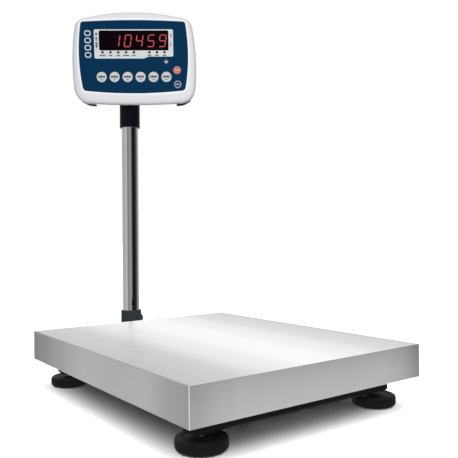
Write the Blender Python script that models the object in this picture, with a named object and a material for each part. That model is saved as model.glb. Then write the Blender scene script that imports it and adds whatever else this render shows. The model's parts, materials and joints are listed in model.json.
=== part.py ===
"""Bench scale: stainless platform on a load cell, with a swivelling, tilting indicator on a column.

Metres, +Z up, floor at z = 0, origin at the centre of the footprint. X is the platform's width, Y its depth,
and the column stands behind the platform on the +Y side.
"""

import math

import bmesh
import bpy
from mathutils import Matrix

# --- Platform -------------------------------------------------------------------------------------------
PAN_WIDTH = 0.420
PAN_DEPTH = 0.520
PAN_SKIRT = 0.050
PAN_SHEET = 0.0015
PAN_TOP_Z = 0.095
COLUMN_SETBACK = 0.026         # from the pan's back edge to the column's axis
PLATE_OVERHANG = 0.060         # of the column's base plate, behind the pan
HEAD_REACH = 0.050             # the turned head reaches this far behind the column's axis
PAN_Y = -(COLUMN_SETBACK + HEAD_REACH) / 2    # so that the whole is centred on the origin
GAP = 0.0003                   # between pieces that touch

# --- Base and deck frames: pressed channels, open below -------------------------------------------------
CHANNEL_WALL = 0.0025
FRAME_BOTTOM_Z = 0.021
FRAME_TOP_Z = 0.051
FRAME_LENGTH = 0.360           # of a cross channel, along X
CHANNEL_WIDTH = 0.030
RAIL_X = 0.070
RAIL_WIDTH = 0.025
CROSS_Y = 0.210                # of the cross channels, from the pan's centre
DECK_CROSS_Y = 0.205
DECK_BOTTOM_Z = 0.0705
DECK_TOP_Z = 0.0885
PLATE_THICKNESS = 0.006
BASE_PLATE_Z = 0.033           # underside of the plate under the load cell
PLATE_HALF_WIDTH = 0.078
CELL_PLATE_Y = (0.025, 0.085)  # both plates' nearest and furthest reach from the pan's centre
CHANNEL_CORNER = 0.004
BOSS_RADIUS = 0.010            # round the studs
SMALL_BOSS_RADIUS = 0.008      # round the column bracket's bolts

# --- Fasteners: M8 hexagon bolts ------------------------------------------------------------------------
BOLT_RADIUS = 0.004
HEAD_RADIUS = 0.0075           # over the hexagon's corners
HEAD_HEIGHT = 0.0053
CHAMFER = 0.0006
CLEARANCE = 0.0005             # round a bolt or a stud in its bore

# --- Load cell ------------------------------------------------------------------------------------------
CELL_SIZE = (0.040, 0.150, 0.029)
LOWER_SPACER = 0.004
UPPER_SPACER = 0.005
CELL_BOTTOM_Z = BASE_PLATE_Z + PLATE_THICKNESS + LOWER_SPACER + 2 * GAP
CELL_TOP_Z = CELL_BOTTOM_Z + CELL_SIZE[2]
DECK_PLATE_Z = CELL_TOP_Z + UPPER_SPACER + 2 * GAP
CELL_BOLT_Y = (0.045, 0.065)
BOLT_REACH = 0.018             # of a bolt into the load cell
CELL_HOLE_RADIUS = 0.0095      # of the two holes that join into the cell's window
CELL_HOLE_Y = 0.014
SPACER_SIZE = (0.036, 0.040)
SPACER_Y = 0.055

# --- Levelling feet -------------------------------------------------------------------------------------
FOOT_X = 0.160
FOOT_RADIUS = 0.034
FOOT_HEIGHT = 0.017
STUD_RADIUS = 0.005            # M10
STUD_HEAD_RADIUS = 0.0070
STUD_HEAD_BOTTOM_Z = 0.006
STUD_HEAD_TOP_Z = 0.012
STOP_X = 0.125
REST_X = 0.165
REST_RADIUS = 0.012

# --- Column ---------------------------------------------------------------------------------------------
COLUMN_Y = PAN_Y + PAN_DEPTH / 2 + COLUMN_SETBACK
TUBE_RADIUS = 0.017
TUBE_BOTTOM_Z = 0.050
TUBE_TOP_Z = 0.548
SOCKET_RADIUS = 0.0205
SOCKET_TOP_Z = 0.115
BRACKET_THICKNESS = 0.0055
BRACKET_BOTTOM_Z = FRAME_BOTTOM_Z - GAP - BRACKET_THICKNESS
BRACKET_HALF_WIDTH = 0.055
BRACKET_BOLT_X = 0.035
FLANGE_RADIUS = 0.030
FLANGE_THICKNESS = 0.005
LUG_Z = PAN_TOP_Z + 0.002
LUG_RADIUS = 0.007
CABLE_RADIUS = 0.0022
CABLE_Z = BRACKET_BOTTOM_Z + BRACKET_THICKNESS + 0.0085    # between the socket's flange and the pan's skirt
LEVEL_X = -0.042

# --- Indicator head -------------------------------------------------------------------------------------
COLLAR_BOTTOM_Z = 0.489
COLLAR_TOP_Z = 0.552
PIVOT_Z = 0.590
SWIVEL = math.radians(-35)     # the head's heading at rest, 0 facing the front of the platform
TILT = math.radians(8)         # how far the face looks down at rest
KNUCKLE_HALF_WIDTH = 0.012
KNUCKLE_RADIUS = 0.009
PIVOT_RADIUS = 0.004
EAR_RADIUS = 0.011
EAR_THICKNESS = 0.003
WHIP_Y = 0.0135                # where the cable leaves the collar, behind its axis
FACE_CENTRE = (0.0169, -0.060, 0.038)    # from the tilt pivot
GLAND_FROM_PIVOT = (0, -0.0100, 0.0275)  # lower end of the cable gland, in the tilting frame
GLAND_HEIGHT = 0.0062

# Depths behind the face's front plane
FLOOR_FRONT = 0.0033
FLOOR_BACK = 0.0063
PARTING = 0.0220
REAR_START = 0.0236
REAR_END = 0.0620
BEND = 0.036                   # where the rear shell starts to close in
SHOULDER = 0.053
NOTCH_DEPTH = 0.0270
NOTCH_HALF_WIDTH = 0.032
NOTCH_ROOF = 0.034             # above the pivot
SHELL = 0.0025
OVERLAY_FRONT = 0.0012
WINDOW_FRONT = 0.0010
MODULE_BACK = 0.0130
BOARD_THICKNESS = 0.0016
BOARD_HALF_WIDTH = 0.088
BOARD_REACH = (-0.058, 0.056)  # down and up from the face's centre

# Battery and its door, from the face's centre
BATTERY_Z = 0.028
BATTERY_SIZE = (0.100, 0.024, 0.040)
BATTERY_FRONT = 0.034
HATCH_SIZE = (0.104, 0.044)
DOOR_SIZE = (0.112, 0.050)
DOOR_FRONT = 0.0603
DOOR_THICKNESS = 0.0020

# Rubber pads under the housing's lower corners
PAD_REACH = (0.068, 0.114)
PAD_DEPTH = (0.0240, 0.0370)
PAD_DROP = 0.0040

KEY_FRONT = 0.0004
KEY_BACK = 0.0024
KEY_RADIUS = 0.0098
KEY_PITCH = 0.0255
KEY_ROW_Z = -0.0396
SMALL_KEY_RADIUS = 0.0075
CLEAR_KEY = (0.0850, -0.0267)
POWER_KEY = (0.0860, -0.0541)
WINDOW_CENTRE = (0.0010, 0.0303)
WINDOW_SIZE = (0.1357, 0.0378)

PANEL_SHAPE = {
    "half_top": 0.1011, "half_mid": 0.1065, "half_bottom": 0.1000,
    "top_edge": 0.0654, "top_mid": 0.0683, "bottom_edge": -0.0654, "bottom_mid": -0.0709,
    "top_radius": 0.004, "bottom_radius": 0.006,
}
HOUSING_SHAPE = {
    "half_top": 0.1130, "half_mid": 0.1220, "half_bottom": 0.1170,
    "top_edge": 0.0700, "top_mid": 0.0856, "bottom_edge": -0.0880, "bottom_mid": -0.0926,
    "top_radius": 0.014, "bottom_radius": 0.028,
}

PALETTE = {
    "stainless": ((0.72, 0.73, 0.74), 0.35, 1.0),
    "chrome": ((0.80, 0.80, 0.80), 0.12, 1.0),
    "zinc": ((0.62, 0.63, 0.64), 0.40, 1.0),
    "black_steel": ((0.02, 0.02, 0.02), 0.50, 0.0),
    "cell_alloy": ((0.75, 0.76, 0.78), 0.45, 1.0),
    "black_plastic": ((0.02, 0.022, 0.025), 0.45, 0.0),
    "rubber": ((0.015, 0.015, 0.015), 0.80, 0.0),
    "white_plastic": ((0.85, 0.85, 0.88), 0.40, 0.0),
    "blue_panel": ((0.008, 0.040, 0.105), 0.40, 0.0),
    "white_key": ((0.80, 0.80, 0.80), 0.45, 0.0),
    "red_key": ((0.80, 0.12, 0.06), 0.45, 0.0),
    "dark_key": ((0.02, 0.03, 0.05), 0.45, 0.0),
    "window": ((0.02, 0.005, 0.008), 0.10, 0.0),
    "circuit": ((0.02, 0.14, 0.06), 0.50, 0.0),
    "level_glass": ((0.60, 0.80, 0.35), 0.08, 0.0),
    "battery_wrap": ((0.05, 0.10, 0.30), 0.40, 0.0),
}


# --- Helpers --------------------------------------------------------------------------------------------
def clear_scene():
    for item in list(bpy.data.objects):
        bpy.data.objects.remove(item, do_unlink=True)


def material(slot):
    if slot in bpy.data.materials:
        return bpy.data.materials[slot]
    color, roughness, metallic = PALETTE[slot]
    made = bpy.data.materials.new(slot)
    made.use_nodes = True
    shader = made.node_tree.nodes["Principled BSDF"]
    shader.inputs["Base Color"].default_value = (*color, 1.0)
    shader.inputs["Roughness"].default_value = roughness
    shader.inputs["Metallic"].default_value = metallic
    return made


def empty(name, location, rotation=(0, 0, 0), parent=None):
    made = bpy.data.objects.new(name, None)
    made.location = location
    made.rotation_euler = rotation
    made.parent = parent
    bpy.context.collection.objects.link(made)
    return made


def piece(name, shape, slot, location=(0, 0, 0), rotation=(0, 0, 0), parent=None):
    """Turn a bmesh into a named object with its material."""
    bmesh.ops.recalc_face_normals(shape, faces=shape.faces)
    mesh = bpy.data.meshes.new(name)
    shape.to_mesh(mesh)
    shape.free()
    mesh.shade_smooth()
    mesh.set_sharp_from_angle(angle=math.radians(35))
    made = bpy.data.objects.new(name, mesh)
    made.data.materials.append(material(slot))
    made.location = location
    made.rotation_euler = rotation
    made.parent = parent
    bpy.context.collection.objects.link(made)
    return made


def tool(name, shape, location=(0, 0, 0), rotation=(0, 0, 0), parent=None):
    """A solid that shapes other pieces and isn't part of the object."""
    made = piece(name, shape, "zinc", location, rotation, parent)
    made.hide_render = True
    made.display_type = "WIRE"
    return made


def shape_with(target, cutter, operation="DIFFERENCE"):
    step = target.modifiers.new(cutter.name, "BOOLEAN")
    step.object = cutter
    step.operation = operation
    step.solver = "EXACT"


def add_box(shape, low, high):
    size = [b - a for a, b in zip(low, high)]
    centre = [(a + b) / 2 for a, b in zip(low, high)]
    bmesh.ops.create_cube(shape, size=1, matrix=Matrix.Translation(centre) @ Matrix.Diagonal((*size, 1)))


def box(low, high, bevel=0.0, segments=1):
    shape = bmesh.new()
    add_box(shape, low, high)
    if bevel:
        bmesh.ops.bevel(shape, geom=shape.edges[:], offset=bevel, segments=segments, affect="EDGES",
                        profile=0.5)
    return shape


def add_rod(shape, radius, start, end, axis="Z", centre=(0, 0), segments=20):
    """A cylinder along an axis from start to end, centred on the other two coordinates."""
    quarter = math.pi / 2
    turn = {"X": Matrix.Rotation(quarter, 4, "Y"), "Y": Matrix.Rotation(-quarter, 4, "X"), "Z": Matrix()}
    middle = (start + end) / 2
    place = {"X": (middle, *centre), "Y": (centre[0], middle, centre[1]), "Z": (*centre, middle)}
    matrix = Matrix.Translation(place[axis]) @ turn[axis]
    bmesh.ops.create_cone(shape, cap_ends=True, segments=segments, radius1=radius, radius2=radius,
                          depth=abs(end - start), matrix=matrix)


def rod(radius, start, end, axis="Z", centre=(0, 0), segments=20):
    shape = bmesh.new()
    add_rod(shape, radius, start, end, axis, centre, segments)
    return shape


def turned(profile, ring=False, segments=24):
    """Turn (radius, z) points about Z. A ring's profile closes on itself; any other one ends on the axis."""
    shape = bmesh.new()
    points = [shape.verts.new((radius, 0, z)) for radius, z in profile]
    edges = [shape.edges.new(pair) for pair in zip(points, points[1:])]
    if ring:
        edges.append(shape.edges.new((points[-1], points[0])))
    bmesh.ops.spin(shape, geom=points + edges, cent=(0, 0, 0), axis=(0, 0, 1), angle=math.tau,
                   steps=segments)
    bmesh.ops.remove_doubles(shape, verts=shape.verts, dist=0.00001)
    return shape


def loft(sections, ring=False):
    """Skin closed outlines that all have the same number of points, with end caps unless it is a ring."""
    shape = bmesh.new()
    loops = [[shape.verts.new(point) for point in section] for section in sections]
    pairs = list(zip(loops, loops[1:]))
    if ring:
        pairs.append((loops[-1], loops[0]))
    else:
        shape.faces.new(loops[0])
        shape.faces.new(loops[-1])
    for near, far in pairs:
        for i, vert in enumerate(near):
            nxt = (i + 1) % len(near)
            shape.faces.new((vert, near[nxt], far[nxt], far[i]))
    return shape


def hexagon(radius, z):
    """A hexagon's corners and the middles of its sides: twelve points, to match ring_of_points."""
    flat = math.cos(math.pi / 6)
    return [(x * (1 if k % 2 == 0 else flat), y * (1 if k % 2 == 0 else flat), z)
            for k, (x, y, _) in enumerate(ring_of_points(radius, z))]


def ring_of_points(radius, z, count=12):
    return [(radius * math.cos(math.tau * k / count), radius * math.sin(math.tau * k / count), z)
            for k in range(count)]


def hex_bolt(seat, shank_end, radius=BOLT_RADIUS):
    """A bolt along Z whose hexagonal head starts at seat; the shank runs from there to shank_end."""
    outward = -1 if shank_end > seat else 1
    head_end = seat + outward * HEAD_HEIGHT
    return loft([hexagon(HEAD_RADIUS - CHAMFER, head_end), hexagon(HEAD_RADIUS, head_end - outward * CHAMFER),
                 hexagon(HEAD_RADIUS, seat), ring_of_points(radius, seat), ring_of_points(radius, shank_end)])


def rounded_rectangle(width, depth, radius, steps=5):
    points = []
    for i, (sx, sy) in enumerate(((1, 1), (-1, 1), (-1, -1), (1, -1))):
        for k in range(steps + 1):
            angle = math.pi / 2 * (i + k / steps)
            points.append((sx * (width / 2 - radius) + radius * math.cos(angle),
                           sy * (depth / 2 - radius) + radius * math.sin(angle)))
    return points


def barrel(form, side_steps=5, corner_steps=3):
    """Outline of a four-sided shape whose sides bow out, as (x, z), anticlockwise from the top right."""
    corners = [(form["half_top"], form["top_edge"], form["top_radius"]),
               (-form["half_top"], form["top_edge"], form["top_radius"]),
               (-form["half_bottom"], form["bottom_edge"], form["bottom_radius"]),
               (form["half_bottom"], form["bottom_edge"], form["bottom_radius"])]
    side_bow = form["half_mid"] - (form["half_top"] + form["half_bottom"]) / 2
    bows = [(0, form["top_mid"] - form["top_edge"]), (-side_bow, 0),
            (0, form["bottom_mid"] - form["bottom_edge"]), (side_bow, 0)]

    def along(index, t):
        ax, az, _ = corners[index % 4]
        bx, bz, _ = corners[(index + 1) % 4]
        arch = 4 * t * (1 - t)
        bow_x, bow_z = bows[index % 4]
        return (ax + (bx - ax) * t + bow_x * arch, az + (bz - az) * t + bow_z * arch)

    def share(index, corner):
        ax, az, _ = corners[index % 4]
        bx, bz, _ = corners[(index + 1) % 4]
        return corners[corner % 4][2] / math.hypot(bx - ax, bz - az)

    points = []
    for index in range(4):
        first, last = share(index, index), 1 - share(index, index + 1)
        points += [along(index, first + (last - first) * k / side_steps) for k in range(side_steps + 1)]
        start, end = points[-1], along(index + 1, share(index + 1, index + 1))
        cx, cz, _ = corners[(index + 1) % 4]
        for k in range(1, corner_steps):
            t = k / corner_steps
            points.append(tuple((1 - t) ** 2 * a + 2 * t * (1 - t) * c + t * t * b
                                for a, c, b in zip(start, (cx, cz), end)))
    return points


def offset_outline(points, grow):
    """Move each point of an anticlockwise outline outwards by grow."""
    moved = []
    for i, (x, z) in enumerate(points):
        px, pz = points[i - 1]
        nx, nz = points[(i + 1) % len(points)]
        dx, dz = nx - px, nz - pz
        length = math.hypot(dx, dz)
        moved.append((x + grow * dz / length, z - grow * dx / length))
    return moved


def mix(first, second, share):
    return [tuple(a + (b - a) * share for a, b in zip(p, q)) for p, q in zip(first, second)]


def at_depth(outline, depth):
    return [(x, depth, z) for x, z in outline]


# --- Platform base --------------------------------------------------------------------------------------
def channel_frame(name, cross_y, bottom, top, plate_y, plate_z):
    """Two cross channels, two rails and the plate that bolts to the load cell, welded into one."""
    half_length, half_channel = FRAME_LENGTH / 2, CHANNEL_WIDTH / 2
    frame = piece(name, box((-half_length, -cross_y - half_channel, bottom),
                            (half_length, -cross_y + half_channel, top), CHANNEL_CORNER), "black_steel",
                  (0, PAN_Y, 0))
    rear = box((-half_length, cross_y - half_channel, bottom), (half_length, cross_y + half_channel, top),
               CHANNEL_CORNER)
    shape_with(frame, tool(name + "_rear_cross", rear, (0, PAN_Y, 0)), "UNION")
    for side in (-1, 1):
        x = side * RAIL_X
        rail = box((x - RAIL_WIDTH / 2, -cross_y, bottom + 0.001),
                   (x + RAIL_WIDTH / 2, cross_y, top - 0.001))
        shape_with(frame, tool(f"{name}_rail_{side}", rail, (0, PAN_Y, 0)), "UNION")
    hollows = bmesh.new()
    inner = half_channel - CHANNEL_WALL
    below = bottom - 0.01
    for side in (-1, 1):
        y = side * cross_y
        add_box(hollows, (-half_length + CHANNEL_WALL, y - inner, below),
                (half_length - CHANNEL_WALL, y + inner, top - CHANNEL_WALL))
        x = side * RAIL_X
        end = cross_y - half_channel - CHANNEL_WALL
        add_box(hollows, (x - RAIL_WIDTH / 2 + CHANNEL_WALL, -end, below),
                (x + RAIL_WIDTH / 2 - CHANNEL_WALL, end, top - CHANNEL_WALL))
    shape_with(frame, tool(name + "_hollows", hollows, (0, PAN_Y, 0)))
    plate = box((-PLATE_HALF_WIDTH, plate_y[0], plate_z),
                (PLATE_HALF_WIDTH, plate_y[1], plate_z + PLATE_THICKNESS))
    shape_with(frame, tool(name + "_plate", plate, (0, PAN_Y, 0)), "UNION")
    return frame


def base_frame():
    frame = channel_frame("base_frame", CROSS_Y, FRAME_BOTTOM_Z, FRAME_TOP_Z, CELL_PLATE_Y, BASE_PLATE_Z)
    bosses, bores = bmesh.new(), bmesh.new()
    boss_top = FRAME_TOP_Z - 0.001
    below, above = 0, FRAME_TOP_Z + 0.02
    for place in foot_places():
        add_rod(bosses, BOSS_RADIUS, FRAME_BOTTOM_Z, boss_top, centre=place, segments=12)
        add_rod(bores, STUD_RADIUS + CLEARANCE, below, above, centre=place, segments=14)
    for x in (-BRACKET_BOLT_X, BRACKET_BOLT_X):
        add_rod(bosses, SMALL_BOSS_RADIUS, FRAME_BOTTOM_Z, boss_top, centre=(x, CROSS_Y), segments=12)
        add_rod(bores, BOLT_RADIUS + CLEARANCE, below, above, centre=(x, CROSS_Y), segments=14)
    for y in CELL_BOLT_Y:
        add_rod(bores, BOLT_RADIUS + CLEARANCE, below, above, centre=(0, y), segments=14)
    shape_with(frame, tool("base_bosses", bosses, (0, PAN_Y, 0)), "UNION")
    shape_with(frame, tool("base_bores", bores, (0, PAN_Y, 0)))


def foot_places():
    """Centres of the feet from the pan's centre."""
    return [(sx * FOOT_X, sy * CROSS_Y) for sy in (-1, 1) for sx in (-1, 1)]


def levelling_feet():
    """Rubber feet with a rounded sole, and the threaded stud whose head turns inside each."""
    neck = STUD_RADIUS + GAP
    sole = [(0, 0), (FOOT_RADIUS - 0.0070, 0), (FOOT_RADIUS - 0.0030, 0.0012), (FOOT_RADIUS - 0.0008, 0.0035),
            (FOOT_RADIUS, 0.0065)]
    shoulder = [(FOOT_RADIUS, FOOT_HEIGHT - 0.0030), (FOOT_RADIUS - 0.0010, FOOT_HEIGHT - 0.0008),
                (FOOT_RADIUS - 0.0030, FOOT_HEIGHT)]
    pocket = [(neck, FOOT_HEIGHT), (neck, STUD_HEAD_TOP_Z), (STUD_HEAD_RADIUS + GAP, STUD_HEAD_TOP_Z),
              (STUD_HEAD_RADIUS + GAP, STUD_HEAD_BOTTOM_Z), (0, STUD_HEAD_BOTTOM_Z)]
    head_bottom, head_top, stud_top = STUD_HEAD_BOTTOM_Z + GAP, STUD_HEAD_TOP_Z - GAP, FRAME_TOP_Z - 0.003
    stud = [(0, head_bottom), (STUD_HEAD_RADIUS, head_bottom), (STUD_HEAD_RADIUS, head_top),
            (STUD_RADIUS, head_top), (STUD_RADIUS, stud_top), (0, stud_top)]
    for number, (x, y) in enumerate(foot_places(), 1):
        pad = turned(sole + shoulder + pocket, segments=24)
        piece(f"foot_pad_{number}", pad, "rubber", (x, PAN_Y + y, 0))
        piece(f"foot_stud_{number}", turned(stud, segments=12), "zinc", (x, PAN_Y + y, 0))


def overload_stops():
    """Set screws on the base frame that the deck lands on when it is overloaded, each with its lock nut."""
    low, high = FRAME_TOP_Z + GAP, DECK_BOTTOM_Z - 0.0008
    nut_top = low + 0.0045
    places = [(sx * STOP_X, sy * (CROSS_Y - 0.003)) for sy in (-1, 1) for sx in (-1, 1)]
    for number, (x, y) in enumerate(places, 1):
        screw = loft([hexagon(HEAD_RADIUS, low), hexagon(HEAD_RADIUS, nut_top - CHAMFER),
                      hexagon(HEAD_RADIUS - CHAMFER, nut_top), ring_of_points(BOLT_RADIUS, nut_top),
                      ring_of_points(BOLT_RADIUS, high)])
        piece(f"overload_stop_{number}", screw, "zinc", (x, PAN_Y + y, 0))


# --- Load cell and deck ---------------------------------------------------------------------------------
def load_cell():
    """A bar with a window of two round holes and a slot, and two bolt holes at each end."""
    width, length, height = CELL_SIZE
    place = (0, PAN_Y, CELL_BOTTOM_Z)
    cell = piece("load_cell", box((-width / 2, -length / 2, 0), (width / 2, length / 2, height), 0.001),
                 "cell_alloy", place)
    window = bmesh.new()
    for side in (-1, 1):
        add_rod(window, CELL_HOLE_RADIUS, -width, width, "X", (side * CELL_HOLE_Y, height / 2), 24)
    slot = box((-width, -CELL_HOLE_Y, height / 2 - 0.003), (width, CELL_HOLE_Y, height / 2 + 0.003))
    shape_with(cell, tool("cell_window", window, place))
    shape_with(cell, tool("cell_slot", slot, place))
    holes = bmesh.new()
    for side in (-1, 1):
        bolt_holes(holes, side, -height, 2 * height)
    shape_with(cell, tool("cell_holes", holes, place))


def bolt_holes(shape, side, bottom, top):
    """The two holes for the bolts at one end of the load cell."""
    for y in CELL_BOLT_Y:
        add_rod(shape, BOLT_RADIUS + GAP, bottom, top, centre=(0, side * y), segments=16)


def spacer(name, side, bottom, top):
    half_x, half_y = SPACER_SIZE[0] / 2, SPACER_SIZE[1] / 2
    y = side * SPACER_Y
    made = piece(name, box((-half_x, y - half_y, bottom), (half_x, y + half_y, top)), "zinc", (0, PAN_Y, 0))
    holes = bmesh.new()
    bolt_holes(holes, side, bottom - 0.01, top + 0.01)
    shape_with(made, tool(name + "_holes", holes, (0, PAN_Y, 0)))


def cell_mounting():
    """Spacers and bolts at the two ends of the load cell."""
    spacer("lower_spacer", 1, BASE_PLATE_Z + PLATE_THICKNESS + GAP, CELL_BOTTOM_Z - GAP)
    spacer("upper_spacer", -1, CELL_TOP_Z + GAP, DECK_PLATE_Z - GAP)
    lower = (BASE_PLATE_Z - GAP, CELL_BOTTOM_Z + BOLT_REACH)
    upper = (DECK_PLATE_Z + PLATE_THICKNESS + GAP, CELL_TOP_Z - BOLT_REACH)
    for number, y in enumerate(CELL_BOLT_Y, 1):
        piece(f"lower_cell_bolt_{number}", hex_bolt(*lower), "zinc", (0, PAN_Y + y, 0))
        piece(f"upper_cell_bolt_{number}", hex_bolt(*upper), "zinc", (0, PAN_Y - y, 0))


def deck_frame():
    plate_y = (-CELL_PLATE_Y[1], -CELL_PLATE_Y[0])
    deck = channel_frame("upper_frame", DECK_CROSS_Y, DECK_BOTTOM_Z, DECK_TOP_Z, plate_y, DECK_PLATE_Z)
    bores = bmesh.new()
    bolt_holes(bores, -1, DECK_PLATE_Z - 0.01, DECK_PLATE_Z + 0.02)
    shape_with(deck, tool("deck_bores", bores, (0, PAN_Y, 0)))


def pan_rests():
    """Rubber buttons on the deck's corners that carry the pan."""
    low, high = DECK_TOP_Z + GAP, PAN_TOP_Z - PAN_SHEET - GAP
    rest = [(0, low), (REST_RADIUS, low), (REST_RADIUS, high - 0.0007), (REST_RADIUS - 0.001, high),
            (0, high)]
    places = [(sx * REST_X, sy * DECK_CROSS_Y) for sy in (-1, 1) for sx in (-1, 1)]
    for number, (x, y) in enumerate(places, 1):
        piece(f"pan_rest_{number}", turned(rest, segments=20), "rubber", (x, PAN_Y + y, 0))


def pan():
    half_w, half_d = PAN_WIDTH / 2, PAN_DEPTH / 2
    bottom = PAN_TOP_Z - PAN_SKIRT
    made = piece("pan", box((-half_w, -half_d, bottom), (half_w, half_d, PAN_TOP_Z), 0.0006), "stainless",
                 (0, PAN_Y, 0))
    inner = box((-half_w + PAN_SHEET, -half_d + PAN_SHEET, bottom - 0.01),
                (half_w - PAN_SHEET, half_d - PAN_SHEET, PAN_TOP_Z - PAN_SHEET))
    shape_with(made, tool("pan_hollow", inner, (0, PAN_Y, 0)))


# --- Column ---------------------------------------------------------------------------------------------
def column_bracket():
    """The plate bolted under the rear cross channel, which carries the column behind the pan."""
    front, back = CROSS_Y - 0.012, PAN_DEPTH / 2 + PLATE_OVERHANG
    top = BRACKET_BOTTOM_Z + BRACKET_THICKNESS
    centre_y = (front + back) / 2
    outline = rounded_rectangle(2 * BRACKET_HALF_WIDTH, back - front, 0.008)
    plate = loft([[(x, y, z) for x, y in outline] for z in (BRACKET_BOTTOM_Z, top)])
    bracket = piece("column_bracket", plate, "black_steel", (0, PAN_Y + centre_y, 0))
    bores = bmesh.new()
    bolt = (BRACKET_BOTTOM_Z - GAP, FRAME_TOP_Z - 0.004)
    for number, x in enumerate((-BRACKET_BOLT_X, BRACKET_BOLT_X), 1):
        add_rod(bores, BOLT_RADIUS + CLEARANCE, 0, 0.04, centre=(x, CROSS_Y - centre_y), segments=14)
        piece(f"bracket_bolt_{number}", hex_bolt(*bolt), "zinc", (x, PAN_Y + CROSS_Y, 0))
    shape_with(bracket, tool("bracket_bores", bores, (0, PAN_Y + centre_y, 0)))


def column_socket():
    """A flanged cup that holds the tube, with a lug for its clamp screw and an opening for the cable."""
    bottom = BRACKET_BOTTOM_Z + BRACKET_THICKNESS + GAP
    floor = bottom + FLANGE_THICKNESS
    bore = TUBE_RADIUS + GAP
    profile = [(0, bottom), (FLANGE_RADIUS, bottom), (FLANGE_RADIUS, floor), (SOCKET_RADIUS + 0.003, floor),
               (SOCKET_RADIUS, floor + 0.003), (SOCKET_RADIUS, SOCKET_TOP_Z - 0.001),
               (SOCKET_RADIUS - 0.001, SOCKET_TOP_Z), (bore, SOCKET_TOP_Z), (bore, floor), (0, floor)]
    socket = piece("column_socket", turned(profile, segments=28), "black_plastic", (0, COLUMN_Y, 0))
    lug = rod(LUG_RADIUS, TUBE_RADIUS + 0.001, SOCKET_RADIUS + 0.0035, "X", (0, LUG_Z))
    shape_with(socket, tool("socket_lug", lug, (0, COLUMN_Y, 0)), "UNION")
    screw_radius = 0.0025
    openings = bmesh.new()
    add_rod(openings, screw_radius + GAP, TUBE_RADIUS - 0.002, FLANGE_RADIUS, "X", (0, LUG_Z), 12)
    add_rod(openings, CABLE_RADIUS + 0.0009, -0.028, -0.012, "Y", (0, CABLE_Z), 16)
    shape_with(socket, tool("socket_openings", openings, (0, COLUMN_Y, 0)))
    screw = rod(screw_radius, bore + GAP, SOCKET_RADIUS + 0.0060, "X", (0, LUG_Z), 12)
    piece("socket_screw", screw, "zinc", (0, COLUMN_Y, 0))


def cable(name, points, parent=None):
    """A round cable through points, as a smooth curve with capped ends."""
    curve = bpy.data.curves.new(name, "CURVE")
    curve.dimensions = "3D"
    curve.bevel_depth = CABLE_RADIUS
    curve.bevel_resolution = 1
    curve.resolution_u = 3
    curve.use_fill_caps = True
    line = curve.splines.new("BEZIER")
    line.bezier_points.add(len(points) - 1)
    for handle, point in zip(line.bezier_points, points):
        handle.co = point
        handle.handle_left_type = "AUTO"
        handle.handle_right_type = "AUTO"
    made = bpy.data.objects.new(name, curve)
    made.data.materials.append(material("black_plastic"))
    made.parent = parent
    bpy.context.collection.objects.link(made)


def cell_cable():
    """From the fixed end of the load cell, over the rear cross channel, into the socket and up the column."""
    start_y = PAN_Y + CELL_SIZE[1] / 2 + 0.0005
    over = (FRAME_TOP_Z + DECK_BOTTOM_Z) / 2
    rear_y = PAN_Y + CROSS_Y
    route = [(start_y, CELL_BOTTOM_Z + 0.014), (start_y + 0.035, over), (rear_y - 0.012, over),
             (rear_y + 0.010, over - 0.0005), (rear_y + 0.024, CABLE_Z + 0.010), (rear_y + 0.033, CABLE_Z),
             (COLUMN_Y - 0.026, CABLE_Z), (COLUMN_Y - 0.019, CABLE_Z), (COLUMN_Y - 0.012, CABLE_Z),
             (COLUMN_Y - 0.004, CABLE_Z + 0.005), (COLUMN_Y, CABLE_Z + 0.016), (COLUMN_Y, 0.20),
             (COLUMN_Y, 0.40), (COLUMN_Y, TUBE_TOP_Z - 0.008)]
    cable("cell_cable", [(0, y, z) for y, z in route])


def column_tube():
    wall = 0.0015
    profile = [(TUBE_RADIUS, TUBE_BOTTOM_Z), (TUBE_RADIUS, TUBE_TOP_Z), (TUBE_RADIUS - wall, TUBE_TOP_Z),
               (TUBE_RADIUS - wall, TUBE_BOTTOM_Z)]
    piece("column_tube", turned(profile, ring=True, segments=32), "chrome", (0, COLUMN_Y, 0))


def spirit_level():
    """A round level on the bracket, beside the column: a cup and the vial that sits in it."""
    bracket_back = PAN_Y + PAN_DEPTH / 2 + PLATE_OVERHANG
    place = (LEVEL_X, bracket_back - 0.018, BRACKET_BOTTOM_Z + BRACKET_THICKNESS + GAP)
    cup_radius, cup_height, inner, floor = 0.0095, 0.010, 0.0070, 0.003
    cup = [(0, 0), (cup_radius, 0), (cup_radius, cup_height), (inner, cup_height), (inner, floor),
           (0, floor)]
    low, high = floor + GAP, cup_height
    vial = [(0, low), (inner - GAP, low), (inner - GAP, high - 0.0015), (0.0040, high - 0.0003), (0, high)]
    piece("level_cup", turned(cup, segments=20), "black_plastic", place)
    piece("level_vial", turned(vial, segments=20), "level_glass", place)


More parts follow.
